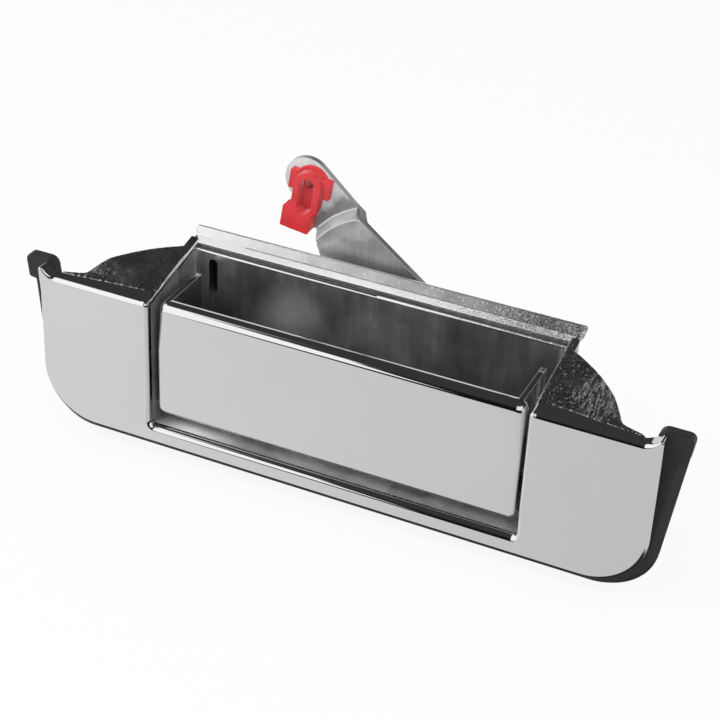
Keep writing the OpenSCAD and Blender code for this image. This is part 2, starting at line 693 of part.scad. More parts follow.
// Flat outline of one arm beyond the joggle
module tip_outline() {
    taper(tip_centre, tip_r, arm_side * (arm_root_r - tip_r), arm_root_r);
}

// Flat outline of the hub plate under one arm, drawn in to the arm's width at the joggle
module hub_outline() {
    polygon([crank(0, hub_edge), crank(joggle_r - 1, hub_edge - 4.2), crank(joggle_r + 3.5, tip_r + 2.2),
             crank(joggle_r + 3.5, -tip_r), crank(0, -tip_r)]);
}

// Flat outline of the whole hub plate and the lifting arm
module lever_outline() {
    hub_outline();
    rotate(180) hub_outline();
    circle(arm_root_r);
    link([0, 0], arm_root_r, input_end, input_r);
    translate(input_end) circle(input_r);
    translate([tab_x, tab_z]) square([tab_len, input_r]);
    lever_notch();
}

// Web that fills the corner between the upper arm and the lifting arm with a round notch
module lever_notch() {
    up = tip_centre / arm_len;
    out = input_end / norm(input_end);
    half = acos(up * out) / 2;
    bisector = (up + out) / norm(up + out);
    centre = bisector * ((notch_r + tip_r) / sin(half));
    foot = (notch_r + tip_r) / tan(half);
    difference() {
        polygon([[0, 0], up * foot, centre, out * foot]);
        translate(centre) circle(notch_r);
    }
}

// Section of the joggle, x from the pivot and y from the hub plate's front face
module joggle_section() {
    run = joggle * 0.6;
    slant = norm([run, joggle]);
    inset = (lever_t * slant - lever_t * run) / joggle;
    polygon([[joggle_r - lever_t, 0], [joggle_r, 0], [joggle_r + run, joggle],
             [joggle_r + run + lever_t, joggle], [joggle_r + run + lever_t, joggle + lever_t],
             [joggle_r + run - inset, joggle + lever_t], [joggle_r - inset, lever_t],
             [joggle_r - lever_t, lever_t]]);
}

module lever() color("lightgray") translate([0, 0, pivot_z]) difference() {
    run = joggle * 0.6;
    union() {
        slab_y(lever_y, lever_t) intersection() {
            lever_outline();
            union() {
                circle(joggle_r - lever_t / 2);
                translate([-100, -100]) square([100 - lever_coil_r, 100 + input_r]);
            }
        }
        slab_y(tip_y, lever_t) difference() {
            union() {
                tip_outline();
                rotate(180) tip_outline();
            }
            circle(joggle_r + run + lever_t / 2);
        }
        intersection() {
            translate([0, lever_y, 0]) rotate([-90, 0, 0]) rotate_extrude() joggle_section();
            slab_y(lever_y, joggle + lever_t) {
                hub_outline();
                rotate(180) hub_outline();
                tip_outline();
                rotate(180) tip_outline();
            }
        }
        translate([tab_x, lever_y, tab_z]) cube([tab_len, lever_t + tab_d, lever_t]);
    }
    bar_y([0, 0], lever_bush_r + seat_gap, lever_y - 1, lever_y + lever_t + 1);
    for (side = [1, -1]) bar_y(side * rod_hole, rod_hole_r, lever_y - 1, tip_y + lever_t + 1);
    lever_spring_lever_hole();
}

module lever_bush() color("ivory") difference() {
    union() {
        bar_y(pivot, lever_bush_r, lever_y - side_gap - lap, lever_y + lever_t);
        bar_y(pivot, bush_flange_r, lever_y - bush_flange_t - side_gap / 2, lever_y - side_gap / 2);
    }
    bar_y(pivot, pivot_r + run_gap, lever_y - 5, lever_y + lever_t + 1);
}

module lever_pivot() color("gainsboro") {
    bar_y(pivot, rivet_tail_r, rear_y + 1.2, boss_y + lap);
    bar_y(pivot, pivot_r, boss_y, lever_y + lever_t + washer_t + side_gap + lap);
    bar_y(pivot, pivot_r + 3, lever_y + lever_t + washer_t + side_gap,
          lever_y + lever_t + washer_t + side_gap + rivet_head_t);
}

module lever_washer() color("gray") difference() {
    bar_y(pivot, pivot_r + washer_w, lever_y + lever_t + side_gap / 2, lever_y + lever_t + side_gap / 2 + washer_t);
    bar_y(pivot, pivot_r + run_gap, lever_y, lever_y + lever_t + 3);
}

module lever_stop() color("dimgray") difference() {
    bar_y(pivot + stop_place, stop_r, lever_y - 1.5, lever_y + lever_t + side_gap);
    bar_y(pivot + stop_place, stop_peg_r + seat_gap, lever_y - 3, lever_y + lever_t + 3);
}

// Rod clip on the face z = 0 of a sheet: barrel, flange, tabs, loop and hook
module rod_clip() color("red") difference() {
    hook_y = -loop_len - loop_r + 1;
    hook_x = loop_r - 1 - hook_w;
    union() {
        translate([0, 0, -lever_t - barb_len]) cylinder(r = barrel_r, h = lever_t + barb_len + lap);
        translate([0, 0, -lever_t - run_gap - barb_len])
            cylinder(r1 = barrel_r, r2 = barrel_r + barb_step, h = barb_len);
        translate([0, 0, run_gap]) cylinder(r = clip_flange_r, h = clip_flange_t - run_gap);
        for (side = [-1, 1]) translate([side * (clip_flange_r - 0.4) - 1.6, -3.4, run_gap])
            cube([3.2, 6.8, clip_flange_t + 1.4]);
        translate([0, 0, clip_flange_t / 2]) linear_extrude(clip_flange_t / 2 + loop_h)
            taper([0, 0], loop_r, [0, -loop_len], loop_r);
        translate([hook_x, hook_y - hook_h, clip_flange_t / 2])
            cube([hook_w, hook_h + 2, clip_flange_t / 2 + loop_h + 1.4]);
    }
    translate([0, 0, -lever_t - barb_len - 1]) cylinder(r = rod_bore_r, h = 20);
    translate([0, 0, clip_flange_t]) linear_extrude(loop_h + 3)
        taper([0, 0], loop_hole_r, [0, -loop_len], loop_hole_r);
    translate([hook_x + 3.6, hook_y - hook_h - 1, clip_flange_t + rod_r + 0.4]) rotate([-90, 0, 0])
        cylinder(r = rod_bore_r, h = hook_h + 2);
    translate([hook_x - 1, hook_y - hook_h - 1, clip_flange_t + 0.4 + rod_r * 0.3])
        cube([4.6, hook_h + 2, rod_r * 1.4]);
}

module upper_rod_clip() translate([rod_hole[0], tip_y, pivot_z + rod_hole[1]]) rotate([0, clip_tilt, 0])
    rotate([90, 0, 0]) rod_clip();

module lower_rod_clip() translate([-rod_hole[0], tip_y + lever_t, pivot_z - rod_hole[1]])
    rotate([0, 0, 180]) rotate([90, 0, 0]) rod_clip();

// Points of a torsion spring round the z axis: leg, curls, leg
function coil_turns(r, pitch, from, to) =
    let (steps = ceil((to - from) / 45))
    [for (i = [0 : steps]) let (a = from + (to - from) * i / steps)
        [r * cos(a), r * sin(a), pitch * (a - from) / 360]];

// One unbroken tube of six sides along a list of points
module wire(points, r) {
    sides = 6;
    n = len(points);
    ways = [for (i = [0 : n - 1]) let (d = points[min(i + 1, n - 1)] - points[max(i - 1, 0)]) d / norm(d)];
    first = let (s = cross(ways[0], [0.3, 0.5, 0.8])) s / norm(s);
    sideways = [for (i = 0, s = first; i < n; i = i + 1,
                     s = i < n ? let (t = s - ways[i] * (s * ways[i])) t / norm(t) : s) s];
    rings = [for (i = [0 : n - 1]) let (u = sideways[i], v = cross(ways[i], u))
        for (k = [0 : sides - 1]) points[i] + r * (u * cos(60 * k) + v * sin(60 * k))];
    skin = [for (i = [0 : n - 2]) for (k = [0 : sides - 1])
        let (a = i * sides + k, b = i * sides + (k + 1) % sides)
        for (t = [[a, a + sides, b], [b, a + sides, b + sides]]) t];
    caps = [for (k = [1 : sides - 2]) for (t = [[0, k, k + 1],
        [(n - 1) * sides, (n - 1) * sides + k + 1, (n - 1) * sides + k]]) t];
    polyhedron(rings, concat(skin, caps));
}

// Least clear distance of a wire to itself, over points at least half a curl apart
function self_gap(points, r) = min([for (i = [0 : len(points) - 6]) for (j = [i + 5 : len(points) - 1])
    norm(points[i] - points[j])]) - 2 * r;

// Paddle spring, round the hinge axis: z here is the part's X, x is its Y and y is its Z
paddle_wire_r = paddle_wire_d / 2;
paddle_pitch = paddle_wire_d + 0.7;
paddle_leg = 14;
paddle_spring_x = 18;
spring_foot = 250;
paddle_turns = coil_turns(paddle_coil_r, paddle_pitch, 180, spring_foot + 360 * paddle_curls);
floor_leg = (hinge_z - floor_z - paddle_wire_r + paddle_coil_r * sin(spring_foot)) / -cos(spring_foot);
paddle_path = concat([[-paddle_coil_r, paddle_leg, 0], [-paddle_coil_r, paddle_leg / 2, 0]], paddle_turns,
    [for (t = [0.5, 1]) paddle_turns[len(paddle_turns) - 1]
        + t * floor_leg * [-sin(spring_foot), cos(spring_foot), 0]]);

module paddle_spring() color("gray")
    translate([paddle_spring_x, hinge_y, hinge_z]) rotate([90, 0, 90]) wire(paddle_path, paddle_wire_r);

// Bell crank spring, round the pivot: x here is the part's X, y is its -Z and z is its Y
lever_wire_r = lever_wire_d / 2;
lever_pitch = lever_wire_d + 0.7;
lever_leg = 7;
wall_end = 2;
spring_start = 60;
spring_end = spring_start + 360 * lever_curls + 150;
coil_y = back_y + lever_wire_r + 0.6;
lever_turns = coil_turns(lever_coil_r, lever_pitch, spring_start, spring_end);
leg_in = lever_turns[0] - lever_leg * [-sin(spring_start), cos(spring_start), 0];
leg_out = lever_turns[len(lever_turns) - 1] + lever_leg * [-sin(spring_end), cos(spring_end), 0];
bend = lever_wire_d;
end_z = lever_y + lever_t - coil_y;
lever_path = concat(
    [leg_in - [0, 0, wall_end], leg_in - [0, 0, wall_end / 2],
     leg_in + bend / 2 * [-sin(spring_start), cos(spring_start), 0.4]],
    lever_turns,
    [leg_out + bend / 2 * [sin(spring_end), -cos(spring_end), 0.4],
     [leg_out[0], leg_out[1], (leg_out[2] + end_z) / 2], [leg_out[0], leg_out[1], end_z]]);

module lever_spring() color("gray")
    translate([0, coil_y, pivot_z]) rotate([-90, 0, 0]) wire(lever_path, lever_wire_r);

// Holes for the two bent ends of the bell crank's spring
module lever_spring_wall_hole() {
    bar_y([leg_in[0], pivot_z - leg_in[1]], lever_wire_r + 0.3, coil_y - wall_end - 0.4, back_y + 1);
}

module lever_spring_lever_hole() {
    bar_y([leg_out[0], -leg_out[1]], lever_wire_r + 0.3, lever_y - 1, lever_y + lever_t + 1);
}

echo(str("paddle_spring least gap to itself ", self_gap(paddle_path, paddle_wire_r), " mm"));
echo(str("lever_spring least gap to itself ", self_gap(lever_path, lever_wire_r), " mm"));

housing();
gasket();
mounting_studs();
paddle();
hinge_bushes();
hinge_pin();
pin_clips();
paddle_spring();
bump_stops();
drive_arm();
arm_rivets();
slot_cover();
cover_screws();
lever();
lever_bush();
lever_pivot();
lever_washer();
lever_spring();
lever_stop();
upper_rod_clip();
lower_rod_clip();
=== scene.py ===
import math
from functools import partial

import bmesh
import bpy
from mathutils import Matrix, Vector
from mathutils import noise as mnoise
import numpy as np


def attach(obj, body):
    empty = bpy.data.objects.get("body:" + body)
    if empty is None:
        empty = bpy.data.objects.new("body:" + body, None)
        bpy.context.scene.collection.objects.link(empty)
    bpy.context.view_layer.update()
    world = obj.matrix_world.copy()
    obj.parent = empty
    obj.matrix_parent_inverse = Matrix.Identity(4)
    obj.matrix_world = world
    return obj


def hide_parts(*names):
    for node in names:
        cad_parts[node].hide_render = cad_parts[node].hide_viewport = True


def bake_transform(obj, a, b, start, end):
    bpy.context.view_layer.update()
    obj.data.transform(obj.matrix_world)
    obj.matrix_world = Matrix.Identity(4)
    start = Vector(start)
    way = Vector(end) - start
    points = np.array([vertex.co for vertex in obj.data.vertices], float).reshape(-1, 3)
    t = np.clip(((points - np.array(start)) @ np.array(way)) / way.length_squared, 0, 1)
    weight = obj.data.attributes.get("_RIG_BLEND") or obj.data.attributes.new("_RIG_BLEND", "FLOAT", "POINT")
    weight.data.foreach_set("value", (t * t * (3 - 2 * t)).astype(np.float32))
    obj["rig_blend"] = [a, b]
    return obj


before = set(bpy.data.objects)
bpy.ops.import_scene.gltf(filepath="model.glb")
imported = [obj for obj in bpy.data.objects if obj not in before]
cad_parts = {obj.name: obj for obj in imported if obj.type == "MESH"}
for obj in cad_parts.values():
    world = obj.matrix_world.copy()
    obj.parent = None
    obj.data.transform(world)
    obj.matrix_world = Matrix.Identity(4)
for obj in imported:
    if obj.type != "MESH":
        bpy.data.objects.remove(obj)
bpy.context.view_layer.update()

# Lengths below are in millimetres in the part's own frame: X to the right, Y into the tailgate, Z up.
MM = 0.001

# Bezel: front face, rear edge outside and at the opening, outline, lower corners and horns
FACE_Y = -9.0
RIM_Y = -4.0
LIP_Y = -6.44
HALF_W = 107.5
BEZEL_TOP = 20.5
BEZEL_BOTTOM = -34.5
CORNER = (87.5, -14.5)
CORNER_R = 20
HORN_X = 101.5
HORN_R = 6
HORN_TURN = 47.65

# Pocket: side walls, floor, both faces of the rear wall, the foot of its lip and the slot in it
OPEN_X = 66.0
WALL_X = 69.0
FLOOR_Z = -27.0
REAR_Y = 23.5
BACK_Y = 26.5
LIP_Z = 24.9
SLOT_X = -59.2

# Wings: slope from the bezel's face to the rear wall, ledge in front and arc of the rear edge
WING_RISE = 7.0
WING_RUN = REAR_Y - FACE_Y
LEDGE_Y = -3.0
LEDGE_SKEW = 2.6
LEDGE_RUN = 32
REAR_ARC = (31.43, -40.73)
REAR_ARC_R = 72.0

# Rail on top of the rear wall: end of its shelf, and the crease before it
SHELF_END = 29.0
CREASE = 0.4
CREASE_Y = 28.28

# Paddle and its hinge
PADDLE_Y = -6.3
PADDLE_BACK = -3.9
PADDLE_X = 64.0
PADDLE_TOP = 20.0
PADDLE_BOTTOM = -23.1
HINGE_Y = 2.0
HINGE_Z = -17.5

# Bell crank: pivot, front of the sheet, and how far across and up the arms reach from the pivot
PIVOT_Z = 14.0
LEVER_Y = 35.0
ARM_X = 32.5
ARM_Z = 38.3


# Materials; noise scales are per metre

def new_material(name, metal=0.0):
    material = bpy.data.materials.new(name)
    material.use_nodes = True
    tree = material.node_tree
    shader = tree.nodes["Principled BSDF"]
    shader.inputs["Metallic"].default_value = metal
    return material, tree, shader


def add(tree, kind, inputs=None, **settings):
    made = tree.nodes.new(kind)
    for key, value in settings.items():
        setattr(made, key, value)
    for key, value in (inputs or {}).items():
        made.inputs[key].default_value = value
    return made


def place(tree, stretch=(1, 1, 1), turn=(0, 0, 0)):
    """The piece's own coordinates, stretched and turned."""
    coordinates = add(tree, "ShaderNodeTexCoord")
    mapping = add(tree, "ShaderNodeMapping", {"Scale": stretch, "Rotation": turn})
    tree.links.new(coordinates.outputs["Object"], mapping.inputs["Vector"])
    return mapping.outputs["Vector"]


def noise(tree, where, scale, detail=3.0, rough=0.55):
    made = add(tree, "ShaderNodeTexNoise", {"Scale": scale, "Detail": detail, "Roughness": rough})
    tree.links.new(where, made.inputs["Vector"])
    return made.outputs["Fac"]


def spread(tree, value, low, high, new_low=0.0, new_high=1.0, how="LINEAR"):
    """Carries the range from low to high over to a new one."""
    ends = {"From Min": low, "From Max": high, "To Min": new_low, "To Max": new_high}
    made = add(tree, "ShaderNodeMapRange", ends, interpolation_type=how)
    tree.links.new(value, made.inputs["Value"])
    return made.outputs["Result"]


def tones(tree, value, stops):
    """A colour ramp from (position, (r, g, b)) stops."""
    made = add(tree, "ShaderNodeValToRGB")
    ramp = made.color_ramp
    while len(ramp.elements) < len(stops):
        ramp.elements.new(0.5)
    for element, (position, colour) in zip(ramp.elements, stops):
        element.position = position
        element.color = (*colour, 1)
    tree.links.new(value, made.inputs["Fac"])
    return made.outputs["Color"]


def feed(tree, made, values):
    """Sets a node's inputs in their order, numbers directly and sockets by a link."""
    for socket, value in zip(made.inputs, values):
        if isinstance(value, (int, float)):
            socket.default_value = value
        else:
            tree.links.new(value, socket)
    return made.outputs[0]


def maths(tree, how, a, b):
    return feed(tree, add(tree, "ShaderNodeMath", operation=how), (a, b))


def either(tree, share, one, two):
    """A mix of two shaders: one where share is 0, two where it is 1."""
    return feed(tree, add(tree, "ShaderNodeMixShader"), (share, one, two))


def distance(tree, where, stretch, centre):
    """Distance from a centre (metres), with each axis stretched by a factor."""
    apart = add(tree, "ShaderNodeVectorMath", operation="MULTIPLY_ADD")
    apart.inputs[1].default_value = stretch
    apart.inputs[2].default_value = [-factor * here for factor, here in zip(stretch, centre)]
    tree.links.new(where, apart.inputs[0])
    made = add(tree, "ShaderNodeVectorMath", operation="LENGTH")
    tree.links.new(apart.outputs["Vector"], made.inputs[0])
    return made.outputs["Value"]


def bump(tree, shader, heights):
    """Bumps on the shader from (height, depth in mm) pairs."""
    normal = None
    for height, depth in heights:
        made = add(tree, "ShaderNodeBump", {"Strength": 1.0, "Distance": depth * MM})
        tree.links.new(height, made.inputs["Height"])
        if normal is not None:
            tree.links.new(normal, made.inputs["Normal"])
        normal = made.outputs["Normal"]
    tree.links.new(normal, shader.inputs["Normal"])


def grey(value, warm=0.0):
    return (value * (1 + warm), value, value * (1 - warm))


def chrome(name):
    """Bright chrome plating: faint waves, fine pits and soft smudges."""
    tone = 0.655
    material, tree, shader = new_material(name, 1.0)
    where = place(tree)
    broad = noise(tree, where, 30, 3)
    fine = noise(tree, where, 420, 4)
    link = tree.links.new
    link(tones(tree, broad, [(0.25, grey(tone * 0.965, -0.006)), (0.75, grey(tone, -0.004))]),
         shader.inputs["Base Color"])
    link(spread(tree, fine, 0.3, 0.75, 0.018, 0.055), shader.inputs["Roughness"])
    bump(tree, shader, [(noise(tree, where, 55, 1), 0.012), (noise(tree, where, 2600, 2), 0.0006)])
    return material


def cast_chrome(name, dark, light, grain, depth, rough, few=0.62, metal=1.0, ridges=0.0, fade=None):
    """Plating over a rough casting: pebbled, with scattered sharp grains and, if asked, drawn ridges.

    depth and ridges are heights in millimetres; few is how rare the sharp grains are;
    fade, if given, holds the two places along X (metres) between which painted shade darkens the plating."""
    material, tree, shader = new_material(name, metal)
    where = place(tree)
    pebbles = noise(tree, where, grain, 5, 0.62)
    patches = noise(tree, where, 110, 3)
    grains = spread(tree, noise(tree, where, grain * 0.8, 2), few, few + 0.14)
    link = tree.links.new
    across = add(tree, "ShaderNodeSeparateXYZ")
    link(where, across.inputs["Vector"])
    shade = pebbles
    # painted shade: the plating darkens towards +X between the two places in fade
    if fade:
        ragged = maths(tree, "ADD", across.outputs["X"], maths(tree, "MULTIPLY", patches, 0.012))
        shade = maths(tree, "SUBTRACT", pebbles, spread(tree, ragged, fade[0], fade[1], 0.0, 0.34))
    link(tones(tree, shade, [(0.08, grey(dark * 0.25)), (0.3, grey(dark)), (0.52, grey((dark + light) / 2)),
                             (0.72, grey(light))]), shader.inputs["Base Color"])
    link(spread(tree, patches, 0.3, 0.7, *rough), shader.inputs["Roughness"])
    if ridges:
        # the left wing is cast smoother than the right one
        grains = maths(tree, "MULTIPLY", grains, spread(tree, across.outputs["X"], -0.06, 0.06, 0.3, 1.0))
    heights = [(pebbles, depth), (grains, depth * 2.2), (noise(tree, where, 240, 2), depth * 1.2)]
    if ridges:
        # ridges only in a ragged patch of the right wing
        drawn = noise(tree, place(tree, (1, 0.16, 0.3), (0, 0, 0.25)), 1500, 2)
        reach = distance(tree, where, (110, 90, 0), (0.085, 0.004, 0))
        patch = spread(tree, maths(tree, "ADD", reach, noise(tree, where, 300, 1)), 1.5, 1.1)
        heights.append((maths(tree, "MULTIPLY", spread(tree, drawn, 0.54, 0.64), patch), ridges))
    bump(tree, shader, heights)
    return material


def pocket_chrome(name, painted_light_greys, metal, centre, across):
    """Thin plating inside the pocket: dull, clouded, with faint upright runs.

    painted_light_greys holds three greys; centre and across (metres) place a less metallic patch of painted
    light;
    metal holds how metallic the middle of that patch and its surroundings are."""
    material, tree, shader = new_material(name)
    where = place(tree)
    runs = noise(tree, place(tree, (1, 1, 0.12)), 260, 3)
    clouds = noise(tree, where, 48, 3)
    link = tree.links.new
    mixed = maths(tree, "ADD", maths(tree, "MULTIPLY", clouds, 0.7), maths(tree, "MULTIPLY", runs, 0.3))
    link(tones(tree, mixed, [(0.34, grey(painted_light_greys[0])), (0.5, grey(painted_light_greys[1])), (0.66, grey(painted_light_greys[2]))]),
         shader.inputs["Base Color"])
    link(spread(tree, mixed, 0.3, 0.7, 0.12, 0.3), shader.inputs["Roughness"])
    reach = distance(tree, where, [1 / size for size in across], centre)
    edge = maths(tree, "ADD", reach, maths(tree, "MULTIPLY", runs, 0.8))
    link(spread(tree, edge, 0.4, 1.5, *metal), shader.inputs["Metallic"])
    bump(tree, shader, [(noise(tree, where, 90, 2), 0.03), (noise(tree, where, 1500, 3), 0.006)])
    return material


def steel(name, tone, rough, warm, rolled, depth=0.003):
    """Plated or bare steel: rolling streaks, clouding and fine scratches."""
    material, tree, shader = new_material(name, 1.0)
    where = place(tree)
    streaks = noise(tree, place(tree, rolled), 700, 4)
    clouds = noise(tree, where, 75, 4)
    mixed = maths(tree, "ADD", maths(tree, "MULTIPLY", clouds, 0.6), maths(tree, "MULTIPLY", streaks, 0.4))
    link = tree.links.new
    greys = [(0.3, grey(tone * 0.78, warm)), (0.52, grey(tone, warm)), (0.75, grey(tone * 1.12, warm))]
    link(tones(tree, mixed, greys), shader.inputs["Base Color"])
    link(spread(tree, mixed, 0.3, 0.7, rough * 0.8, rough * 1.25), shader.inputs["Roughness"])
    bump(tree, shader, [(streaks, depth), (noise(tree, where, 2400, 2), depth * 0.6)])
    return material


def zinc_sheet(name):
    """Zinc-plated bell crank sheet: clouded, with painted light and shade round the bends and at the tips.
    """
    material, tree, shader = new_material(name, 0.8)
    where = place(tree)
    link = tree.links.new
    # 1 stands for 50 mm from the pivot
    reach = distance(tree, where, (20, 0, 20), (0, 0, PIVOT_Z * MM))
    clouds = noise(tree, where, 95, 4, 0.6)
    streaks = noise(tree, place(tree, (1, 1, 0.08)), 700, 4)
    out = maths(tree, "ADD", reach, spread(tree, clouds, 0.3, 0.7, -0.06, 0.06))
    # painted rings about the pivot: a highlight inside the bends, shade past them, highlights at the tips
    band = tones(tree, out, [(0.3, grey(0.56)), (0.5, grey(0.68)), (0.58, grey(0.95)), (0.65, grey(0.62)),
                             (0.72, grey(0.45)), (0.77, grey(0.42)), (0.82, grey(0.9)), (0.88, grey(1.0))])
    wear = spread(tree, maths(tree, "ADD", clouds, streaks), 0.7, 1.3, 0.8, 1.08)
    link(maths(tree, "MULTIPLY", band, wear), shader.inputs["Base Color"])
    link(spread(tree, clouds, 0.3, 0.7, 0.3, 0.46), shader.inputs["Roughness"])
    bump(tree, shader, [(streaks, 0.006), (noise(tree, where, 2400, 2), 0.004)])
    return material


def plastic(name, dark, light, rough, grain, depth, coat=0.0, glow=0.0):
    """Moulded plastic or rubber: slight colour drift and a fine mould texture."""
    material, tree, shader = new_material(name)
    where = place(tree)
    drift = noise(tree, where, 160, 3)
    mould = noise(tree, where, grain, 3)
    link = tree.links.new
    link(tones(tree, drift, [(0.3, dark), (0.7, light)]), shader.inputs["Base Color"])
    link(spread(tree, mould, 0.3, 0.7, rough * 0.85, rough * 1.15), shader.inputs["Roughness"])
    shader.inputs["Coat Weight"].default_value = coat
    shader.inputs["Coat Roughness"].default_value = 0.18
    if glow:
        shader.inputs["Subsurface Weight"].default_value = glow
        shader.inputs["Subsurface Radius"].default_value = (0.0012, 0.0004, 0.0003)
        shader.inputs["Subsurface Scale"].default_value = 1.0
    bump(tree, shader, [(mould, depth), (noise(tree, where, 130, 2), depth * 2)])
    return material


CHROME = chrome("bezel_chrome")
PADDLE_CHROME = chrome("paddle_chrome")
# painted light: one plating in copies, darkest on the rear wall, lighter on the side walls, lightest on the
# floor
POCKET = pocket_chrome("pocket_chrome", painted_light_greys=(0.3, 0.46, 0.74), metal=(0.4, 0.88),
                       centre=(-0.029, 0.0235, 0.01), across=(0.0125, 0.033, 0.0118))
POCKET_SIDE = pocket_chrome("pocket_side_chrome", painted_light_greys=(0.4, 0.58, 0.86), metal=(0.02, 0.7),
                            centre=(-0.054, -0.005, -0.027), across=(0.013, 0.02, 0.005))
POCKET_FLOOR = pocket_chrome("pocket_floor_chrome", painted_light_greys=(0.6, 0.8, 1.0), metal=(0.0, 0.72),
                             centre=(-0.051, -0.005, -0.027), across=(0.0155, 0.02, 0.005))
WING = cast_chrome("wing_cast", 0.3, 0.66, 1500, 0.055, (0.16, 0.34), ridges=0.5)
# painted shade: both rail finishes darken towards the right
RAIL = cast_chrome("rail_cast", 0.86, 1.0, 1700, 0.018, (0.16, 0.28), metal=0.85, fade=(0.024, 0.06))
RAIL_SHELF = cast_chrome("rail_shelf_cast", 0.8, 0.98, 1700, 0.03, (0.34, 0.46), metal=0.2,
                         fade=(0.004, 0.056))
# the casting's back; also used as painted shade in the rail's groove and crease
BACK_CAST_AND_SHADE = cast_chrome("back_cast", 0.36, 0.52, 900, 0.035, (0.32, 0.5), few=0.56)
RUBBER = plastic("gasket_rubber", (0.009, 0.009, 0.01), (0.017, 0.017, 0.018), 0.55, 2200, 0.012)
RED = plastic("red_plastic", (0.62, 0.022, 0.03), (0.74, 0.035, 0.045), 0.34, 1800, 0.006,
              coat=0.25, glow=0.12)
BLACK = plastic("black_plastic", (0.016, 0.016, 0.017), (0.028, 0.028, 0.03), 0.42, 1600, 0.012)
NYLON = plastic("nylon", (0.03, 0.03, 0.032), (0.05, 0.05, 0.052), 0.45, 1700, 0.006)
ZINC = zinc_sheet("zinc_sheet")
SHEARED = steel("sheared_steel", 0.6, 0.45, 0.0, (1, 0.1, 1), depth=0.01)
PLATED = steel("plated_steel", 0.58, 0.3, 0.012, (0.1, 1, 1))
ARM = steel("arm_steel", 0.24, 0.4, 0.01, (0.1, 1, 1))
SPRING = steel("spring_steel", 0.34, 0.32, 0.01, (1, 1, 1))
# The housing's materials, in the order of its slots
HOUSING = [CHROME, POCKET, WING, RAIL, BACK_CAST_AND_SHADE, RAIL_SHELF, POCKET_SIDE, POCKET_FLOOR]


# Pieces

WEIGHT = "bevel_weight_edge"


def clamp(t):
    return max(0.0, min(1.0, t))


def mix(a, b, t):
    return a + (b - a) * clamp(t)


def solid(node):
    """A welded copy of a CAD node's mesh in millimetres, with its flat faces joined."""
    mesh = bmesh.new()
    mesh.from_mesh(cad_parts[node].data)
    bmesh.ops.remove_doubles(mesh, verts=mesh.verts, dist=2e-6)
    bmesh.ops.dissolve_limit(mesh, angle_limit=math.radians(0.3), verts=mesh.verts, edges=mesh.edges)
    bmesh.ops.scale(mesh, vec=(1 / MM, 1 / MM, 1 / MM), verts=mesh.verts)
    return mesh


def cut(mesh, point, normal, clear=False):
    """Cuts a mesh along a plane and, if asked, clears what lies behind the plane."""
    every = mesh.verts[:] + mesh.edges[:] + mesh.faces[:]
    bmesh.ops.bisect_plane(mesh, geom=every, plane_co=point, plane_no=normal, clear_inner=clear)


def drop_faces(mesh, unwanted):
    """Deletes the faces that unwanted(centre, normal) picks."""
    mesh.normal_update()
    gone = [face for face in mesh.faces if unwanted(face.calc_center_median(), face.normal)]
    bmesh.ops.delete(mesh, geom=gone, context="FACES")


def soften(mesh, width_of, least=28):
    """Notes the rounding of each sharp edge: width_of(middle, direction, bend, length) in millimetres."""
    layers = mesh.edges.layers.float
    layer = layers.get(WEIGHT) or layers.new(WEIGHT)
    mesh.normal_update()
    for edge in mesh.edges:
        if len(edge.link_faces) != 2:
            continue
        bend = edge.calc_face_angle_signed(0.0)
        if abs(bend) < math.radians(least):
            continue
        a, b = edge.verts[0].co, edge.verts[1].co
        length = (b - a).length
        if length < 1e-6:
            continue
        edge[layer] = width_of((a + b) / 2, (b - a) / length, math.degrees(bend), length)


def put(name, data):
    made = bpy.data.objects.new(name, data)
    bpy.context.scene.collection.objects.link(made)
    return made


def piece(name, mesh, body, materials, nodes, segments=3, smooth=38):
    """Makes an object of a mesh in millimetres, rounds its noted edges and sets it on its body."""
    bmesh.ops.scale(mesh, vec=(MM, MM, MM), verts=mesh.verts)
    data = bpy.data.meshes.new(name)
    mesh.to_mesh(data)
    mesh.free()
    for material in materials:
        data.materials.append(material)
    made = put(name, data)
    if WEIGHT in data.attributes:
        rounding = made.modifiers.new("rounding", "BEVEL")
        rounding.limit_method = "WEIGHT"
        rounding.width = MM
        rounding.segments = segments
        rounding.use_clamp_overlap = False
        rounding.harden_normals = False
        rounding.loop_slide = False
    data.shade_smooth()
    data.set_sharp_from_angle(angle=math.radians(smooth))
    weigh = made.modifiers.new("normals", "WEIGHTED_NORMAL")
    weigh.keep_sharp = True
    weigh.weight = 80
    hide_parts(*nodes)
    if body:
        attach(made, body)
    return made


def dressed(node, body, material, width, segments=2):
    """A CAD node's own shape with every sharp edge rounded a little."""
    mesh = solid(node)
    soften(mesh, lambda middle, way, bend, length: width if bend > 0 else width * 0.5)
    piece(node + "_piece", mesh, body, [material], [node], segments)


def arc(centre, radius, start, end, steps):
    """Points of an arc in the X-Z plane, angles from +X towards +Z."""
    turns = [math.radians(start + (end - start) * i / steps) for i in range(steps + 1)]
    return [(centre[0] + radius * math.cos(a), centre[1] + radius * math.sin(a)) for a in turns]


def inward(points):
    """Unit directions into a closed outline that runs anticlockwise, mitred at its corners."""
    ways = []
    count = len(points)
    for i in range(count):
        before, here, after = (Vector(points[j % count]) for j in (i - 1, i, i + 1))
        a = (here - before).normalized()
        b = (after - here).normalized()
        left_a, left_b = Vector((-a.y, a.x)), Vector((-b.y, b.x))
        way = (left_a + left_b).normalized()
        ways.append(way / max(0.5, way.dot(left_a)))
    return ways


# X of the first and last point of an outline's right half
MIDDLE = 0.001


def mirrored(half):
    """A whole outline from its right half, which runs from the middle below to the middle above."""
    left = [(-x, *rest) for x, *rest in reversed(half)]
    return half + [p for p in left if p[0] < -1e-6]


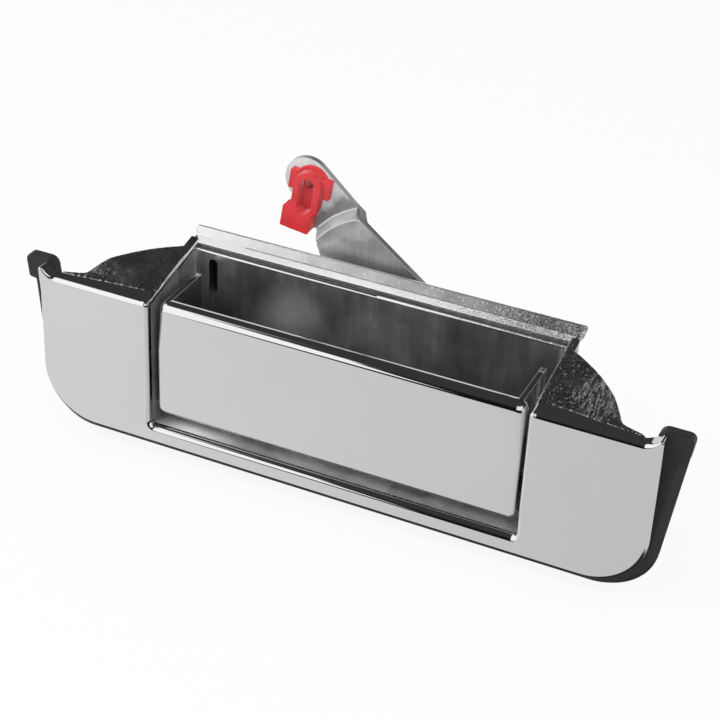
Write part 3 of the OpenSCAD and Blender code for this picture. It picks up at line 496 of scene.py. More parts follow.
def skin(mesh, outline, front_y, steps, close_back=None):
    """A plate's front face, rounded front edge and side wall.

    outline holds (x, z, edge radius, rear y, rise of the rear edge) anticlockwise seen from the front;
    close_back, if given, gives the depth of a sloping land and the radius of the rear edge at a height."""
    ways = inward([(x, z) for x, z, *rest in outline])
    rings = []
    for k in range(steps + 1):
        a = math.radians(90 * k / steps)
        ring = []
        for (x, z, r, back, rise), way in zip(outline, ways):
            inset = r * (1 - math.sin(a))
            y = front_y + r * (1 - math.cos(a))
            ring.append(mesh.verts.new((x + way.x * inset, y, z + way.y * inset)))
        rings.append(ring)
    rings.append([mesh.verts.new((x, back, z + rise)) for x, z, r, back, rise in outline])
    for k in range(4) if close_back else ():
        a = math.radians(30 * k)
        ring = []
        for (x, z, _, back, rise), way in zip(outline, ways):
            land, r = close_back(z)
            inset = land * 0.075 + r * (1 - math.cos(a))
            y = back + land + r * math.sin(a)
            ring.append(mesh.verts.new((x + way.x * inset, y, z + rise + way.y * inset)))
        rings.append(ring)
    count = len(outline)
    mesh.faces.new(rings[0])
    for near, far in zip(rings, rings[1:]):
        for i in range(count):
            j = (i + 1) % count
            mesh.faces.new((near[i], far[i], far[j], near[j]))
    if close_back:
        close_across(mesh, outline, rings[-1])


def close_across(mesh, outline, ring):
    """Closes the last ring of a mirrored outline by strips that run straight across."""
    count = len(ring)
    steps_up = [i for i in range(count // 2 - 1) if outline[i + 1][1] - outline[i][1] > 1e-6]
    for i in steps_up:
        corners = [ring[i]]
        if i == steps_up[0]:
            corners += ring[:i][::-1] + ring[count - i:][::-1]
        corners += [ring[count - 1 - i], ring[count - 2 - i]]
        if i == steps_up[-1]:
            corners += ring[i + 2:count - 2 - i][::-1]
        mesh.faces.new(corners + [ring[i + 1]])


def paint(face, material):
    face.material_index = HOUSING.index(material)


# Side wings: a shelf behind the bezel's top ledge that meets the pocket's wall in a rounded edge.
# A column of vertices runs back at each of these places across.
WALL_COLUMNS = [67.8, 68.2, 68.6, WALL_X]
WING_COLUMNS = [WALL_X + 0.45 * i for i in range(71)]
ROWS = 72
WALL_END = BACK_Y - 0.1
# Depth of the seam where the shelf meets the ledge
SEAM = 0.1
# The wall's inner edge: radius in front, where its top ends, and points (across, up) of the chamfer behind
EDGE_R = 1.6
EDGE_TOP_X = 67
CHAMFER = ((0, -0.85), (0.05, -0.74), (0.23, -0.52), (0.41, -0.3), (0.59, -0.09), (0.76, 0))
EDGE_STEPS = len(CHAMFER) - 1


def shelf_z(x, y):
    """Height of the wall's top and of the wing's top, which also rises outward."""
    foot, flare, flare_run, flare_start = 20.1, 2.6, 27.6, 7
    behind = (y - FACE_Y) / WING_RUN
    out = (x - OPEN_X) / flare_run
    return foot + WING_RISE * behind + flare * out * clamp(5 * (behind - flare_start / WING_RUN))


def ledge_y(x):
    """Where the polished ledge ends and the cast wing begins."""
    return LEDGE_Y - LEDGE_SKEW * max(0.0, x - WALL_X) / LEDGE_RUN


def wing_rear(x):
    """Rear edge of the wing: a long arc that sweeps out into the ledge."""
    curve = REAR_ARC[1] + math.sqrt(max(1.0, REAR_ARC_R ** 2 - (x - REAR_ARC[0]) ** 2))
    strip = 0.6 + 0.7 * (x - WALL_X) / LEDGE_RUN
    foot = ledge_y(x) + 0.35 + strip * min(1.0, max(0.0, WING_COLUMNS[-1] - x) / 6)
    blend = 2.2
    gap = max(0.0, blend - abs(curve - foot)) / blend
    return max(curve, foot) + gap * gap * blend * 0.25


def grain(x, y, z):
    """Pebbled height of the raw casting, from noise of three sizes."""
    here = Vector((x, y, z))
    sizes = ((0.075, 0.85), (0.07, 0.3), (0.02, 2.1))
    return sum(height * mnoise.noise(here * scale) for height, scale in sizes)


def wall_round(k, y):
    """Place across and drop of the k-th point on the wall's inner edge: round in front, then a chamfer."""
    a = math.radians(90 * k / EDGE_STEPS)
    far = clamp((y - LIP_Y) / 7)
    in_chamfer, up_chamfer = CHAMFER[k]
    return (OPEN_X + mix(EDGE_R * (1 - math.cos(a)), in_chamfer, far),
            mix(EDGE_R * (math.sin(a) - 1), up_chamfer, far))


def edge_start(k):
    """Where the k-th line of the wall's inner edge begins."""
    return mix(LIP_Y, ledge_y(EDGE_TOP_X), k / EDGE_STEPS)


def wall_finish(vertex):
    """Polished along the opening and just behind the bezel, cast further out."""
    x = abs(vertex.co.x)
    return CHROME if x < 66.5 or x < EDGE_TOP_X and vertex.co.y < 0.5 else WING


def shelf(mesh, side):
    """Wall top, wing top and wing rim on one side; side is 1 or -1."""
    def sheet(columns, finish, turned=False):
        for one, two in zip(columns, columns[1:]):
            for i in range(len(one) - 1):
                corners = (one[i], two[i], two[i + 1], one[i + 1])
                face = mesh.faces.new(corners if (side > 0) != turned else corners[::-1])
                paint(face, finish(one[i]))

    def column(x, front, rear, rough, place_of=None):
        """Vertices from front to rear; place_of, if given, says how x and the height change with y."""
        rows = [front, front + 0.12, front + 0.26]
        rows += [front + (rear - front) * i / ROWS for i in range(1, ROWS)]
        rows = [min(y, rear) for y in rows] + [rear]
        broken = clamp(0.5 + 2.5 * mnoise.noise(Vector((side * x * 0.9, 3.0, 1.0))))
        made = []
        for y in rows:
            drop = 0.0
            if place_of:
                x, drop = place_of(y)
            z = shelf_z(x, y) + drop
            behind = y - front
            near = min(1.0, behind / 1.5)
            step = 0.3 * broken * min(1.0, behind / 0.2) * max(0.0, 1 - behind / 2.5)
            raised = rough * (step + near * grain(side * x, y, z))
            made.append(mesh.verts.new((side * x, y, z - SEAM * (1 - near) + raised)))
        return made

    wall = [column(OPEN_X, LIP_Y, WALL_END, 0.0, lambda y: (OPEN_X, -1.7))]
    for k in range(EDGE_STEPS + 1):
        wall.append(column(OPEN_X, edge_start(k), WALL_END, 0.1, lambda y: wall_round(k, y)))
    wall += [column(x, ledge_y(x), WALL_END, 0.5) for x in WALL_COLUMNS]
    sheet(wall, wall_finish)
    wing = [column(x, ledge_y(x), wing_rear(x), 1.0) for x in WING_COLUMNS]
    sheet(wing, lambda vertex: WING)
    # rim: a rounded edge, then down to the wing's underside
    rim = [line[-1] for line in wing]
    rows = [rim]
    for out, down in ((0.28, 0.1), (0.45, 0.4), (0.45, 3.2)):
        row = []
        for i, vertex in enumerate(rim):
            before, after = rim[max(i - 1, 0)].co, rim[min(i + 1, len(rim) - 1)].co
            along = Vector((after.x - before.x, after.y - before.y))
            away = Vector((-along.y, along.x)).normalized() * side
            x, y, z = vertex.co
            row.append(mesh.verts.new((x + away.x * out, y + away.y * out, z - down)))
        rows.append(row)
    sheet(rows, lambda vertex: WING, turned=True)


# Housing: the bezel's skin in front of the CAD casting, with wings, lip and rail made anew.
# Radii of its front edge, and the plane that trims the casting's outer side
BEZEL_EDGE = 2.0
HORN_EDGE = 0.6
LEDGE_EDGE = 1.9
TRIM_Y = -3.46


def rise(x, y):
    """How far the shelf's seam lies above the bezel's top."""
    return shelf_z(x, y) - SEAM - BEZEL_TOP


def bezel_outline():
    """Runs up the right side, over the horn, along the ledge and down the opening, then mirrored."""
    half = [(x, BEZEL_BOTTOM, BEZEL_EDGE, RIM_Y, 0) for x in (MIDDLE, 20, 40, 60, 74)]
    half += [(x, z, BEZEL_EDGE, RIM_Y, 0) for x, z in arc(CORNER, CORNER_R, -90, 0, 28)]
    for z in (-4, 6, 13, 15, 17, 19, 20.6):
        half.append((HALF_W, z, mix(BEZEL_EDGE, HORN_EDGE, (z - 13) / 8), RIM_Y, 0))
    tip = arc((HALF_W - 0.9, 21.85), 0.9, 0, 90 + HORN_TURN, 8)
    half += [(x, z, HORN_EDGE, RIM_Y, 0) for x, z in tip]
    for i in range(1, 10):
        turn = HORN_TURN * (1 - i / 9)
        x = HORN_X + HORN_R * math.sin(math.radians(turn))
        z = BEZEL_TOP + HORN_R - HORN_R * math.cos(math.radians(turn))
        rear = mix(ledge_y(HORN_X), RIM_Y, turn / 30)
        up = mix(rise(HORN_X, rear), 0.0, turn / 30)
        half.append((x, z, mix(LEDGE_EDGE, HORN_EDGE, turn / HORN_TURN), rear, up))
    for x in reversed(WALL_COLUMNS + WING_COLUMNS[1:]):
        half.append((x, BEZEL_TOP, LEDGE_EDGE, ledge_y(x), rise(x, ledge_y(x))))
    for k in reversed(range(EDGE_STEPS + 1)):
        x, drop = wall_round(k, LIP_Y)
        rear = edge_start(k)
        up = rise(x, rear) + wall_round(k, rear)[1] - drop
        half.append((x, BEZEL_TOP + drop, mix(1.0, 1.5, k / EDGE_STEPS), rear, up))
    half += [(OPEN_X, z, 1.0, LIP_Y, 0) for z in (18, 14, 10, 0, -10, -18)]
    for x, z in arc((OPEN_X - 1.8, FLOOR_Z + 1.8), 1.8, 0, -90, 6):
        half.append((x, z, mix(2.2, 1.0, (z - FLOOR_Z) / 3), LIP_Y, 0))
    half += [(x, FLOOR_Z, 2.2, LIP_Y, 0) for x in (62, 60, 45, 30, 15, MIDDLE)]
    return mirrored(half)


def old_rim(c, n):
    """Is a face part of the bezel's outer side that the skin covers?"""
    x = abs(c.x)
    from_corner = math.hypot(x - CORNER[0], c.z - CORNER[1])
    in_corner = x > CORNER[0] and c.z < CORNER[1] and from_corner > CORNER_R - 1
    outer = in_corner or x > HALF_W - 0.2 or c.z < BEZEL_BOTTOM + 0.2
    return outer and c.y < TRIM_Y and n.y < 0.5 and (n.x * c.x > 0.5 or n.z < -0.3)


def old_wing(c, n):
    """Is a face part of a wing's top or of the wall's upper edge, which the shelves cover?"""
    x = abs(c.x)
    if x < OPEN_X - 0.05 or c.z < 17.3 or c.y > REAR_Y + 0.1 or n.z < -0.5:
        return False
    if n.x * c.x < -0.5 and x < OPEN_X + 0.1:
        return c.z - (20 + WING_RISE * (c.y - FACE_Y) / WING_RUN) > -1.56
    return x > OPEN_X + 0.05 and (n.z > 0.3 or x > WALL_X + 0.2)


def old_lip(c, n):
    """Is a face part of the rear wall's plain lip or of the rail's shelf behind it?"""
    lip = REAR_Y - 0.1 < c.y < REAR_Y + 0.45
    top = REAR_Y + 0.4 < c.y < SHELF_END and n.z > 0.9
    return c.z > LIP_Z and abs(c.x) < 70 and (lip or top) and abs(n.x) < 0.5


def housing_finish(c, n):
    """The material of a face of the CAD casting."""
    if c.y > REAR_Y - 0.05 and c.z > 22.3 and n.y < 0.9:
        return RAIL_SHELF if n.z > 0.9 and c.y < SHELF_END else RAIL
    if abs(c.x) < OPEN_X + 0.05 and c.y < REAR_Y + 0.1 and c.z > FLOOR_Z - 0.05:
        # painted light: up-facing floor faces take the lightest pocket copy, upright sides a lighter one
        if n.z > 0.7:
            return POCKET_FLOOR
        return POCKET_SIDE if abs(n.x) > 0.7 else POCKET
    return BACK_CAST_AND_SHADE


def housing_edge(middle, way, bend, length):
    x, y, z = abs(middle.x), middle.y, middle.z
    if y > 23.3 and z > 22.4:
        # the rail, rounder at the corners of its ends
        if x > 60 and abs(way.y) > 0.9 and z > 28 and bend > 0:
            return 1.3
        return 0.28 if length > 0.6 and bend > 0 else 0.0
    if 54 < x < 63 and y > 23 and abs(way.z) > 0.9:
        # upright edges of the slot
        return 0.0
    if abs(x - OPEN_X) < 0.1 and z > 20 and bend > 0:
        # upper edge of the side walls
        return 0.4
    if x < OPEN_X + 0.1 and y < REAR_Y + 0.1 and bend < 0 and length > 2:
        # inner corners of the pocket, but not the one behind the floor
        return 0.0 if y > 23 and z < -26 else 1.1
    if x > 69.5 and z > 17 and y > LEDGE_Y and bend > 0 and length > 1:
        # wings
        return 0.5
    if length > 6 and bend > 0 and y > 20:
        # long edges at the back
        return 0.4
    return 0.0


def rail_front(mesh):
    """Rounded lip of the rear wall, a groove behind it and the rail's rough shelf."""
    lip_r = 0.8
    profile = [(REAR_Y, LIP_Z, CHROME)]
    for a in (20, 40, 60, 80, 95, 110):
        y = REAR_Y + lip_r - lip_r * math.cos(math.radians(a))
        profile.append((y, LIP_Z + lip_r * math.sin(math.radians(a)), CHROME))
    # groove floor and riser take the darker back-casting finish: painted shade in the groove
    profile += [(y, z, BACK_CAST_AND_SHADE) for y, z in ((24.75, 25.2), (25.1, 25.15), (25.1, 26.85))]
    profile += [(25.2, 27.05, RAIL_SHELF), (25.4, 27.12, RAIL_SHELF)]
    profile += [(25.4 + 3.15 * i / 6, 27.12 + 0.48 * i / 6, RAIL_SHELF) for i in range(1, 6)]
    # a fine crease where the shelf meets the rail's slope, from near the left end on, with painted shade in
    # it
    profile += [(28.1, 27.53, RAIL_SHELF), (CREASE_Y, 27.56 - CREASE, BACK_CAST_AND_SHADE)]
    profile += [(28.46, 27.59, BACK_CAST_AND_SHADE), (28.55, 27.6, RAIL_SHELF)]
    columns = 160
    rows = []
    for y, z, material in profile:
        end = 66.3 + 0.4 * max(0.0, y - 24.6)
        row = []
        for i in range(columns + 1):
            x = end * (2 * i / columns - 1)
            wave = (0.015 if material == CHROME else 0.05) * mnoise.noise(Vector((x * 0.5, y, z)))
            if material == RAIL_SHELF:
                wave += 0.03 * mnoise.noise(Vector((x * 1.7, y * 1.7, z)))
            if y == CREASE_Y:
                wave += CREASE * clamp((-46 - x) / 8)
            row.append(mesh.verts.new((x, y, z + wave)))
        rows.append(row)
    for one, two, (y, z, material) in zip(rows, rows[1:], profile[1:]):
        for i in range(columns):
            face = mesh.faces.new((one[i], one[i + 1], two[i + 1], two[i]))
            x = one[i].co.x
            no_crease = y >= CREASE_Y and x < -50
            # a dull line along the right half of the lip
            dull = material == CHROME and x > 0 and 25.38 < z < 25.65
            paint(face, RAIL_SHELF if no_crease or dull else material)


def slot_web(mesh):
    """A web across the rear wall's slot, above the drive arm's travel."""
    top, foot, half_width, r = 11.2, -4.6, 1.8, 1.6
    right, left = SLOT_X + half_width, SLOT_X - half_width
    outline = [(right, top)] + arc((SLOT_X, top), r, 0, -180, 12) + [(left, top)]
    outline += [(left, foot)] + arc((SLOT_X, foot), r, 180, 0, 12) + [(right, foot)]
    front = [mesh.verts.new((x, REAR_Y + 0.1, z)) for x, z in outline]
    rear = [mesh.verts.new((x, WALL_END, z)) for x, z in outline]
    faces = [mesh.faces.new(front), mesh.faces.new(rear[::-1])]
    for i in range(len(outline)):
        j = (i + 1) % len(outline)
        faces.append(mesh.faces.new((front[i], rear[i], rear[j], front[j])))
    for face in faces:
        paint(face, POCKET)


def make_housing():
    mesh = solid("housing")
    cut(mesh, (0, LIP_Y - 0.01, 0), (0, 1, 0), clear=True)
    cut(mesh, (0, TRIM_Y, 0), (0, 1, 0))
    # the roundings were fitted to the mesh that a second pass leaves
    for _ in range(2):
        cut(mesh, (OPEN_X, FACE_Y, 18.45), (0, -WING_RISE / WING_RUN, 1))
    drop_faces(mesh, lambda c, n: old_rim(c, n) or old_wing(c, n))
    cut(mesh, (0, 0, LIP_Z), (0, 0, 1))
    drop_faces(mesh, old_lip)
    for face in mesh.faces:
        paint(face, housing_finish(face.calc_center_median(), face.normal))
    soften(mesh, housing_edge)
    skin(mesh, bezel_outline(), FACE_Y, 8)
    for side in (1, -1):
        shelf(mesh, side)
    rail_front(mesh)
    slot_web(mesh)
    piece("housing_casting", mesh, "housing", HOUSING, ["housing"], smooth=40)


make_housing()


# Paddle: a lipped plate over the CAD cheeks and eyes
def paddle_outline():
    """Runs up the right side and along the top, where the edge is rounder, then mirrored."""
    foot_edge, side_edge, lip_edge = 2.0, 1.2, 3.1
    foot_r, top_r = 3.0, 3.4
    half = [(x, PADDLE_BOTTOM, foot_edge, PADDLE_BACK, 0) for x in (MIDDLE, 20, 40, 55)]
    corner = arc((PADDLE_X - foot_r, PADDLE_BOTTOM + foot_r), foot_r, -90, 0, 10)
    for i, (x, z) in enumerate(corner):
        half.append((x, z, mix(foot_edge, side_edge, i / 10), PADDLE_BACK, 0))
    for z in (-10, 0, 2, 4, 6, 8, 10, 12, 14, 15.5):
        up = (z - 2) / 13
        half.append((PADDLE_X, z, mix(side_edge, lip_edge, up), mix(PADDLE_BACK, -3.25, up), 0))
    corner = arc((PADDLE_X - top_r, PADDLE_TOP - top_r), top_r, 0, 90, 12)
    half += [(x, z, lip_edge, -3.2, 0) for x, z in corner]
    half += [(x, PADDLE_TOP, lip_edge, -3.2, 0) for x in (59, 57, 50, 40, 20, MIDDLE)]
    return mirrored(half)


def old_top(c, n):
    """Is a face part of the plate's upper edge, apart from the cheeks?"""
    return c.y < -3.0 and c.z > 14 and (abs(c.x) < 60.15 or abs(c.x) > 62.25)


def paddle_edge(middle, way, bend, length):
    return 0.0 if bend < 0 or length < 0.3 or middle.y < -2.6 else 0.25


def paddle_rear(z):
    """Depth of the plate's sloping rear land and radius of its rear edge."""
    return mix(0.02, 0.75, (z - 16) / 3.5), 0.22


def make_paddle():
    mesh = solid("paddle")
    cut(mesh, (0, PADDLE_BACK + 0.05, 0), (0, 1, 0), clear=True)
    drop_faces(mesh, old_top)
    soften(mesh, paddle_edge)
    skin(mesh, paddle_outline(), PADDLE_Y, 10, paddle_rear)
    piece("paddle_shell", mesh, "paddle", [PADDLE_CHROME], ["paddle"], smooth=40)


make_paddle()


# Gasket, lever, clips and small hardware
def make_gasket():
    """The rubber band hangs a little lower than the bezel, and further out on the left."""
    sag, out, left_end, ear_z = 2.1, 2.0, -85, 11
    mesh = solid("gasket")
    for vertex in mesh.verts:
        vertex.co.z -= sag * clamp((-vertex.co.z - 8) / 20)
        if vertex.co.x < left_end:
            below = max(0.0, ear_z - vertex.co.z)
            vertex.co.x -= out * min(1.0, below / 6) * (1 - 0.6 * min(1.0, below / 35))
    soften(mesh, lambda middle, way, bend, length: 0.5 if bend > 0 else 0.25)
    piece("gasket_band", mesh, "housing", [RUBBER], ["gasket"])


def draw_in_shoulders(mesh):
    """Draws the hub's shoulders in, so that each arm's edge runs on past its bend."""
    arm_length = math.hypot(ARM_X, ARM_Z)
    root, bend, end = 19, 30, 36
    shoulder = []
    for vertex in mesh.verts:
        x, z = vertex.co.x, vertex.co.z - PIVOT_Z
        arm = 1 if z > 0 else -1
        along = arm * (-ARM_X * x + ARM_Z * z) / arm_length
        across = arm * (ARM_Z * x + ARM_X * z) / arm_length
        if bend < along < end + 2 and across > 9:
            shoulder.append(vertex)
        if root < along < end + 2 and across > 6:
            if along < bend:
                limit = mix(16.0, 11.4, (along - root) / (bend - root))
            else:
                limit = mix(11.4, 10.2, (along - bend) / (end - bend))
            excess = max(0.0, across - limit)
            vertex.co.x -= arm * excess * ARM_Z / arm_length
            vertex.co.z -= arm * excess * ARM_X / arm_length
    bmesh.ops.remove_doubles(mesh, verts=shoulder, dist=0.8)


def lever_edge(middle, way, bend, length):
    """More rounding where the arms are bent out of the sheet's plane."""
    from_pivot = math.hypot(middle.x, middle.z - PIVOT_Z)
    at_bend = 30.5 < from_pivot < 38.5 and abs(way.y) < 0.2 and 40 < abs(bend) < 70
    return 0.45 if at_bend else 0.16


def make_lever():
    mesh = solid("lever")
    draw_in_shoulders(mesh)
    soften(mesh, lever_edge, 24)
    sheared = 1
    for face in mesh.faces:
        if abs(face.normal.y) < 0.3:
            face.material_index = sheared
    made = piece("lever_sheet", mesh, "lever", [ZINC, SHEARED], ["lever"])
    made.modifiers["rounding"].material = sheared


def clip_edge(foot):
    """Roundings of a rod clip whose lowest point is foot: more on the outside of its hook."""
    def width(middle, way, bend, length):
        if bend < 0:
            return 0.12
        if middle.z < foot + 1 and abs(way.y) > 0.9 and length > 5:
            return 1.4
        if middle.z < foot + 9 and length > 7.2:
            # the rod's groove runs close under the hook's long lower edges
            return 0.1 if length > 10 else 0.45
        return 0.24
    return width


def make_clip(side):
    node = side + "_rod_clip"
    mesh = solid(node)
    soften(mesh, clip_edge(min(vertex.co.z for vertex in mesh.verts)))
    made = piece(node + "_piece", mesh, side + "_clip", [RED], [node])
    # no red glints in the metal round the clip
    made.visible_glossy = False


make_gasket()
make_lever()
make_clip("upper")
make_clip("lower")
dressed("hinge_bushes", "paddle", NYLON, 0.2)
dressed("hinge_pin", "housing", PLATED, 0.15)
dressed("pin_clips", "housing", SPRING, 0.1)
dressed("bump_stops", "housing", RUBBER, 0.5, 3)
dressed("drive_arm", "paddle", ARM, 0.25)
dressed("arm_rivets", "paddle", PLATED, 0.35, 3)
dressed("slot_cover", "housing", BLACK, 0.4, 3)
dressed("cover_screws", "housing", PLATED, 0.25)
dressed("lever_bush", "lever", NYLON, 0.2)
dressed("lever_pivot", "housing", PLATED, 0.5, 3)
dressed("lever_washer", "housing", PLATED, 0.15)
dressed("lever_stop", "housing", RUBBER, 0.3)


# Springs and studs
WIRE_R = 0.7
COIL_PITCH = 2.1


def close_rings(mesh, rings):
    """Faces between rings of vertices, closed at both ends."""
    sides = len(rings[0])
    for a, b in zip(rings, rings[1:]):
        for k in range(sides):
            j = (k + 1) % sides
            mesh.faces.new((a[k], a[j], b[j], b[k]))
    mesh.faces.new(rings[0][::-1])
    mesh.faces.new(rings[-1])


def wire(points):
    """A smooth closed wire along points."""
    sides = 14
    mesh = bmesh.new()
    last = len(points) - 1
    ways = [(points[min(i + 1, last)] - points[max(i - 1, 0)]).normalized() for i in range(last + 1)]
    side = ways[0].cross(Vector((0.3, 0.5, 0.8))).normalized()
    rings = []
    for point, way in zip(points, ways):
        side = (side - way * side.dot(way)).normalized()
        other = way.cross(side)
        ring = []
        for k in range(sides):
            a = 2 * math.pi * k / sides
            ring.append(mesh.verts.new(point + WIRE_R * (side * math.cos(a) + other * math.sin(a))))
        rings.append(ring)
    close_rings(mesh, rings)
    return mesh


def coil(radius, pitch, start, end):
    """Points of a coil about Z, one every nine degrees."""
    steps = int((end - start) / 9)
    made = []
    for i in range(steps + 1):
        turn = start + (end - start) * i / steps
        a = math.radians(turn)
        made.append(Vector((radius * math.cos(a), radius * math.sin(a), pitch * (turn - start) / 360)))
    return made


def tangent(degrees):
    """The direction in which a coil runs on at an angle."""
    return Vector((-math.sin(math.radians(degrees)), math.cos(math.radians(degrees)), 0))


def eased(points, reach=1.2):
    """Rounds the bends of a path with short arcs."""
    made = [points[0]]
    for before, here, after in zip(points, points[1:], points[2:]):
        a = before - here
        b = after - here
        if a.angle(b, math.pi) > math.radians(160):
            made.append(here)
            continue
        r = min(reach, a.length / 2.2, b.length / 2.2)
        p, q = here + a.normalized() * r, here + b.normalized() * r
        for i in range(6):
            t = i / 5
            made.append(p * (1 - t) ** 2 + here * 2 * t * (1 - t) + q * t ** 2)
    made.append(points[-1])
    return made


def spring_piece(name, path, place_of, node, a, b, start, end):
    """A wire along a path, which place_of carries into the part's frame."""
    mesh = wire([place_of(p) for p in path])
    made = piece(name, mesh, None, [SPRING], [node], 2, 60)
    made.modifiers.clear()
    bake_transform(made, a, b, start=[v * MM for v in start], end=[v * MM for v in end])


def paddle_spring():
    """Round the hinge pin: one leg on the paddle's back, the other on the pocket's floor."""
    coil_r, coil_x, last = 4.9, 18, 250
    turns = coil(coil_r, COIL_PITCH, 180, last + 360 * 6)
    way = tangent(last)
    leg = (HINGE_Z - FLOOR_Z - WIRE_R + coil_r * math.sin(math.radians(last))) / -way.y
    path = [Vector((-coil_r, 14, 0)), Vector((-coil_r, 7, 0))] + turns
    path += [turns[-1] + way * leg * t for t in (0.5, 1)]
    spring_piece("paddle_return_spring", path,
                 lambda p: Vector((coil_x + p.z, HINGE_Y + p.x, HINGE_Z + p.y)),
                 "paddle_spring", "paddle", "housing", (18.5, 2, -17.5), (30.5, 2, -17.5))


def lever_spring():
    """Round the crank's pivot: one end in the pocket's rear wall, the other in the crank."""
    coil_r, leg, first, last = 9, 7, 60, 60 + 720 + 150
    turns = coil(coil_r, COIL_PITCH, first, last)
    coil_y = BACK_Y + WIRE_R + 0.6
    leg_in = turns[0] - leg * tangent(first)
    leg_out = turns[-1] + leg * tangent(last)
    path = [leg_in - Vector((0, 0, 2)), leg_in] + turns
    path += [leg_out, Vector((leg_out.x, leg_out.y, LEVER_Y + 2 - coil_y))]
    spring_piece("lever_return_spring", eased(path),
                 lambda p: Vector((p.x, coil_y + p.z, PIVOT_Z - p.y)),
                 "lever_spring", "housing", "lever", (0, 27.5, 14), (0, 33, 14))


paddle_spring()
lever_spring()


def threaded_stud(mesh, x):
    """A stud with a plain shank and a rolled thread up to a chamfered tip."""
    sides, pitch, steps = 36, 1.0, 8
    thread_start, thread_end = 1.2, 21.0
    rings = []

    def ring(y, radius_of):
        made = []
        for k in range(sides):
            a = 2 * math.pi * k / sides
            made.append(mesh.verts.new((x + radius_of(k) * math.cos(a), y, radius_of(k) * math.sin(a))))
        rings.append(made)

    for y, r in ((-6.4, 3.4), (-0.45, 3.4), (-0.25, 3.2), (-0.24, 2.95), (thread_start, 2.95)):
        ring(y, lambda k: r)
    y = thread_start + 0.2
    while y < thread_end:
        fade = min(1.0, y - thread_start)
        tip = max(0.0, (y - 20.3) / 0.7)

        def radius(k):
            phase = (y / pitch + k / sides) % 1.0
            groove = 0.55 * abs(2 * phase - 1) ** 1.1
            return 2.98 - fade * groove - 0.25 * tip

        ring(y, radius)
        y += pitch / steps
    ring(thread_end, lambda k: 2.6)
    ring(21.95, lambda k: 2.0)
    close_rings(mesh, rings)


def make_studs():
    mesh = bmesh.new()
    for x in (-85.0, 85.0):
        threaded_stud(mesh, x)
    bmesh.ops.recalc_face_normals(mesh, faces=mesh.faces)
    piece("stud_threads", mesh, "housing", [PLATED], ["mounting_studs"], 2, 50)


make_studs()


# Stage, light and camera, in metres

def stage_floor():
    """A round white floor just under the part, which keeps the part's shadow."""
    height, sides = -0.0412, 60
    mesh = bmesh.new()
    rings = []
    for r in (0.0001, 0.2, 0.6, 1.5, 3.0):
        turns = [math.radians(360 / sides * k) for k in range(sides)]
        rings.append([mesh.verts.new((r * math.cos(a), r * math.sin(a), height)) for a in turns])
    for a, b in zip(rings, rings[1:]):
        for k in range(sides):
            j = (k + 1) % sides
            mesh.faces.new((a[k], b[k], b[j], a[j]))
    mesh.faces.new(rings[0])
    data = bpy.data.meshes.new("floor")
    mesh.to_mesh(data)
    mesh.free()
    made = put("floor", data)
    material, tree, shader = new_material("floor_white")
    tree.nodes.clear()
    output = add(tree, "ShaderNodeOutputMaterial")
    paper = add(tree, "ShaderNodeBsdfDiffuse", {"Color": (0.85, 0.85, 0.85, 1)}).outputs[0]
    glow = add(tree, "ShaderNodeEmission", {"Color": (1, 1, 1, 1), "Strength": 1.0}).outputs[0]
    shown = either(tree, 0.9, paper, glow)
    tree.links.new(either(tree, seen_by_eye(tree), paper, shown), output.inputs["Surface"])
    data.materials.append(material)
    made.visible_glossy = False


def seen_by_eye(tree):
    """1 for what the camera sees, straight or through something clear."""
    path = add(tree, "ShaderNodeLightPath")
    return maths(tree, "MAXIMUM", path.outputs["Is Camera Ray"], path.outputs["Is Transmission Ray"])


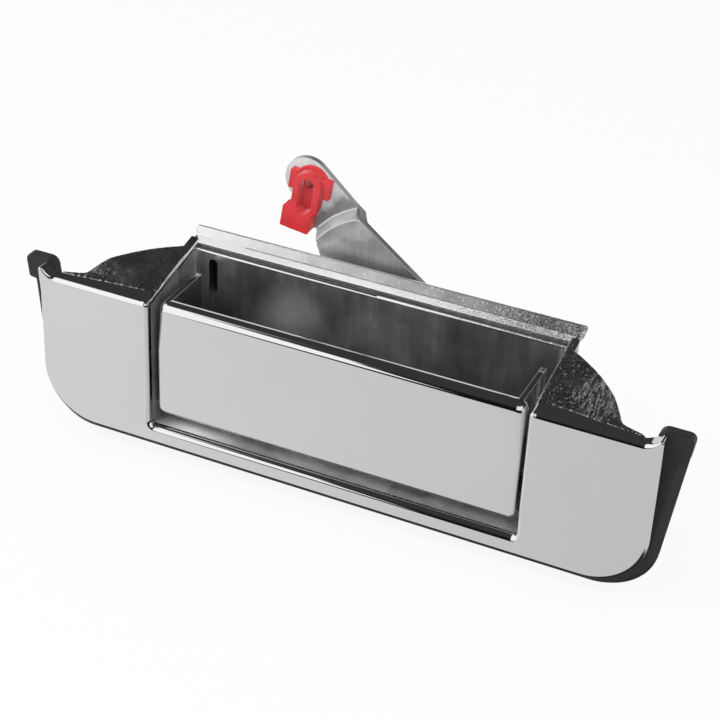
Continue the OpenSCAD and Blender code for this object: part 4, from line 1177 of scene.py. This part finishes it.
def studio():
    """White to the camera and to soft light; metal sees a pale table, a dark room and two softboxes."""
    world = bpy.data.worlds.new("studio")
    bpy.context.scene.world = world
    world.use_nodes = True
    world.cycles.sampling_method = "NONE"
    tree = world.node_tree
    tree.nodes.clear()
    link = tree.links.new

    plus, minus, times, larger, smaller = (partial(maths, tree, how) for how in (
        "ADD", "SUBTRACT", "MULTIPLY", "MAXIMUM", "MINIMUM"))

    def ease(value, low, high):
        return spread(tree, value, low, high, how="SMOOTHSTEP")

    output = add(tree, "ShaderNodeOutputWorld")
    way = add(tree, "ShaderNodeTexCoord")
    parts = add(tree, "ShaderNodeSeparateXYZ")
    link(way.outputs["Generated"], parts.inputs["Vector"])
    x, y, z = (parts.outputs[k] for k in "XYZ")
    # angle of a direction, from straight out of the front face towards the left
    left = maths(tree, "ARCTAN2", times(x, -1.0), times(y, -1.0))
    # softbox: foot, then its sloping top and its far side
    foot = larger(minus(0.354, times(left, 1.35)), -0.34)
    low = larger(times(ease(left, 0.44, 0.48), ease(z, -0.38, -0.3)), ease(minus(z, foot), -0.03, 0.04))
    steep = minus(times(left, 4.9), 1.432)
    slant = plus(times(left, 0.9), 0.158)
    top = smaller(smaller(steep, slant), 0.84)
    box = times(times(ease(minus(top, z), -0.03, 0.05), ease(left, 1.75, 1.45)), low)
    # a second, dimmer box in front and to the right
    other = times(ease(left, 0.12, 0.04), ease(left, -1.4, -1.2))
    other = times(times(other, ease(z, 0.08, 0.16)), ease(z, 0.8, 0.7))
    box = larger(box, times(other, 0.8))
    # table: a little brighter on the left, dark straight below
    table = ease(z, -0.34, -0.42)
    under = times(ease(z, -0.66, -0.79), ease(y, -0.5, -0.36))
    shine = times(spread(tree, left, 0.2, 0.6, 0.94, 1.145), minus(1.03, under))
    # backdrop behind the part, up to a certain height
    drop = times(times(ease(y, 0.1, 0.3), ease(z, 0.475, 0.43)), ease(z, -0.42, -0.34))
    ceiling = ease(z, 0.2, 0.6)
    seen = plus(times(table, shine), times(box, 1.7))
    seen = plus(seen, times(drop, 1.1))
    seen = plus(seen, times(ceiling, 0.05))
    seen = plus(seen, 0.012)
    metal = add(tree, "ShaderNodeBackground")
    link(seen, metal.inputs["Strength"])
    plain = add(tree, "ShaderNodeBackground", {"Color": (1, 1, 1, 1), "Strength": 0.62}).outputs[0]
    white = add(tree, "ShaderNodeBackground", {"Color": (1, 1, 1, 1), "Strength": 1.0}).outputs[0]
    path = add(tree, "ShaderNodeLightPath")
    light = either(tree, path.outputs["Is Glossy Ray"], plain, metal.outputs[0])
    link(either(tree, seen_by_eye(tree), light, white), output.inputs["Surface"])


def lamp(name, where, size, power):
    """A square area lamp that points at the part and doesn't show in the metal."""
    aim = Vector((0, 0, 0.01))
    data = bpy.data.lights.new(name, "AREA")
    data.shape = "SQUARE"
    data.size = size
    data.energy = power
    made = put(name, data)
    made.location = where
    made.rotation_euler = (aim - Vector(where)).to_track_quat("-Z", "Y").to_euler()
    made.visible_glossy = False


def set_camera():
    """The photo's view."""
    data = bpy.data.cameras.new("camera")
    data.lens = 89.55
    data.sensor_width = 36
    data.sensor_fit = "HORIZONTAL"
    camera = put("camera", data)
    right = Vector((0.90708, 0.41865, 0.04394))
    up = Vector((-0.25610, 0.46600, 0.84691))
    back = Vector((0.33408, -0.77947, 0.52992))
    turn = Matrix((right, up, back)).transposed()
    camera.matrix_world = Matrix.Translation((0.19485, -0.44005, 0.31495)) @ turn.to_4x4()
    bpy.context.scene.camera = camera


stage_floor()
studio()
lamp("key", (-0.55, -0.55, 0.85), 0.6, 7.0)
lamp("fill", (0.7, -0.4, 0.6), 0.8, 2.5)
set_camera()
bpy.context.scene.view_settings.view_transform = "Standard"
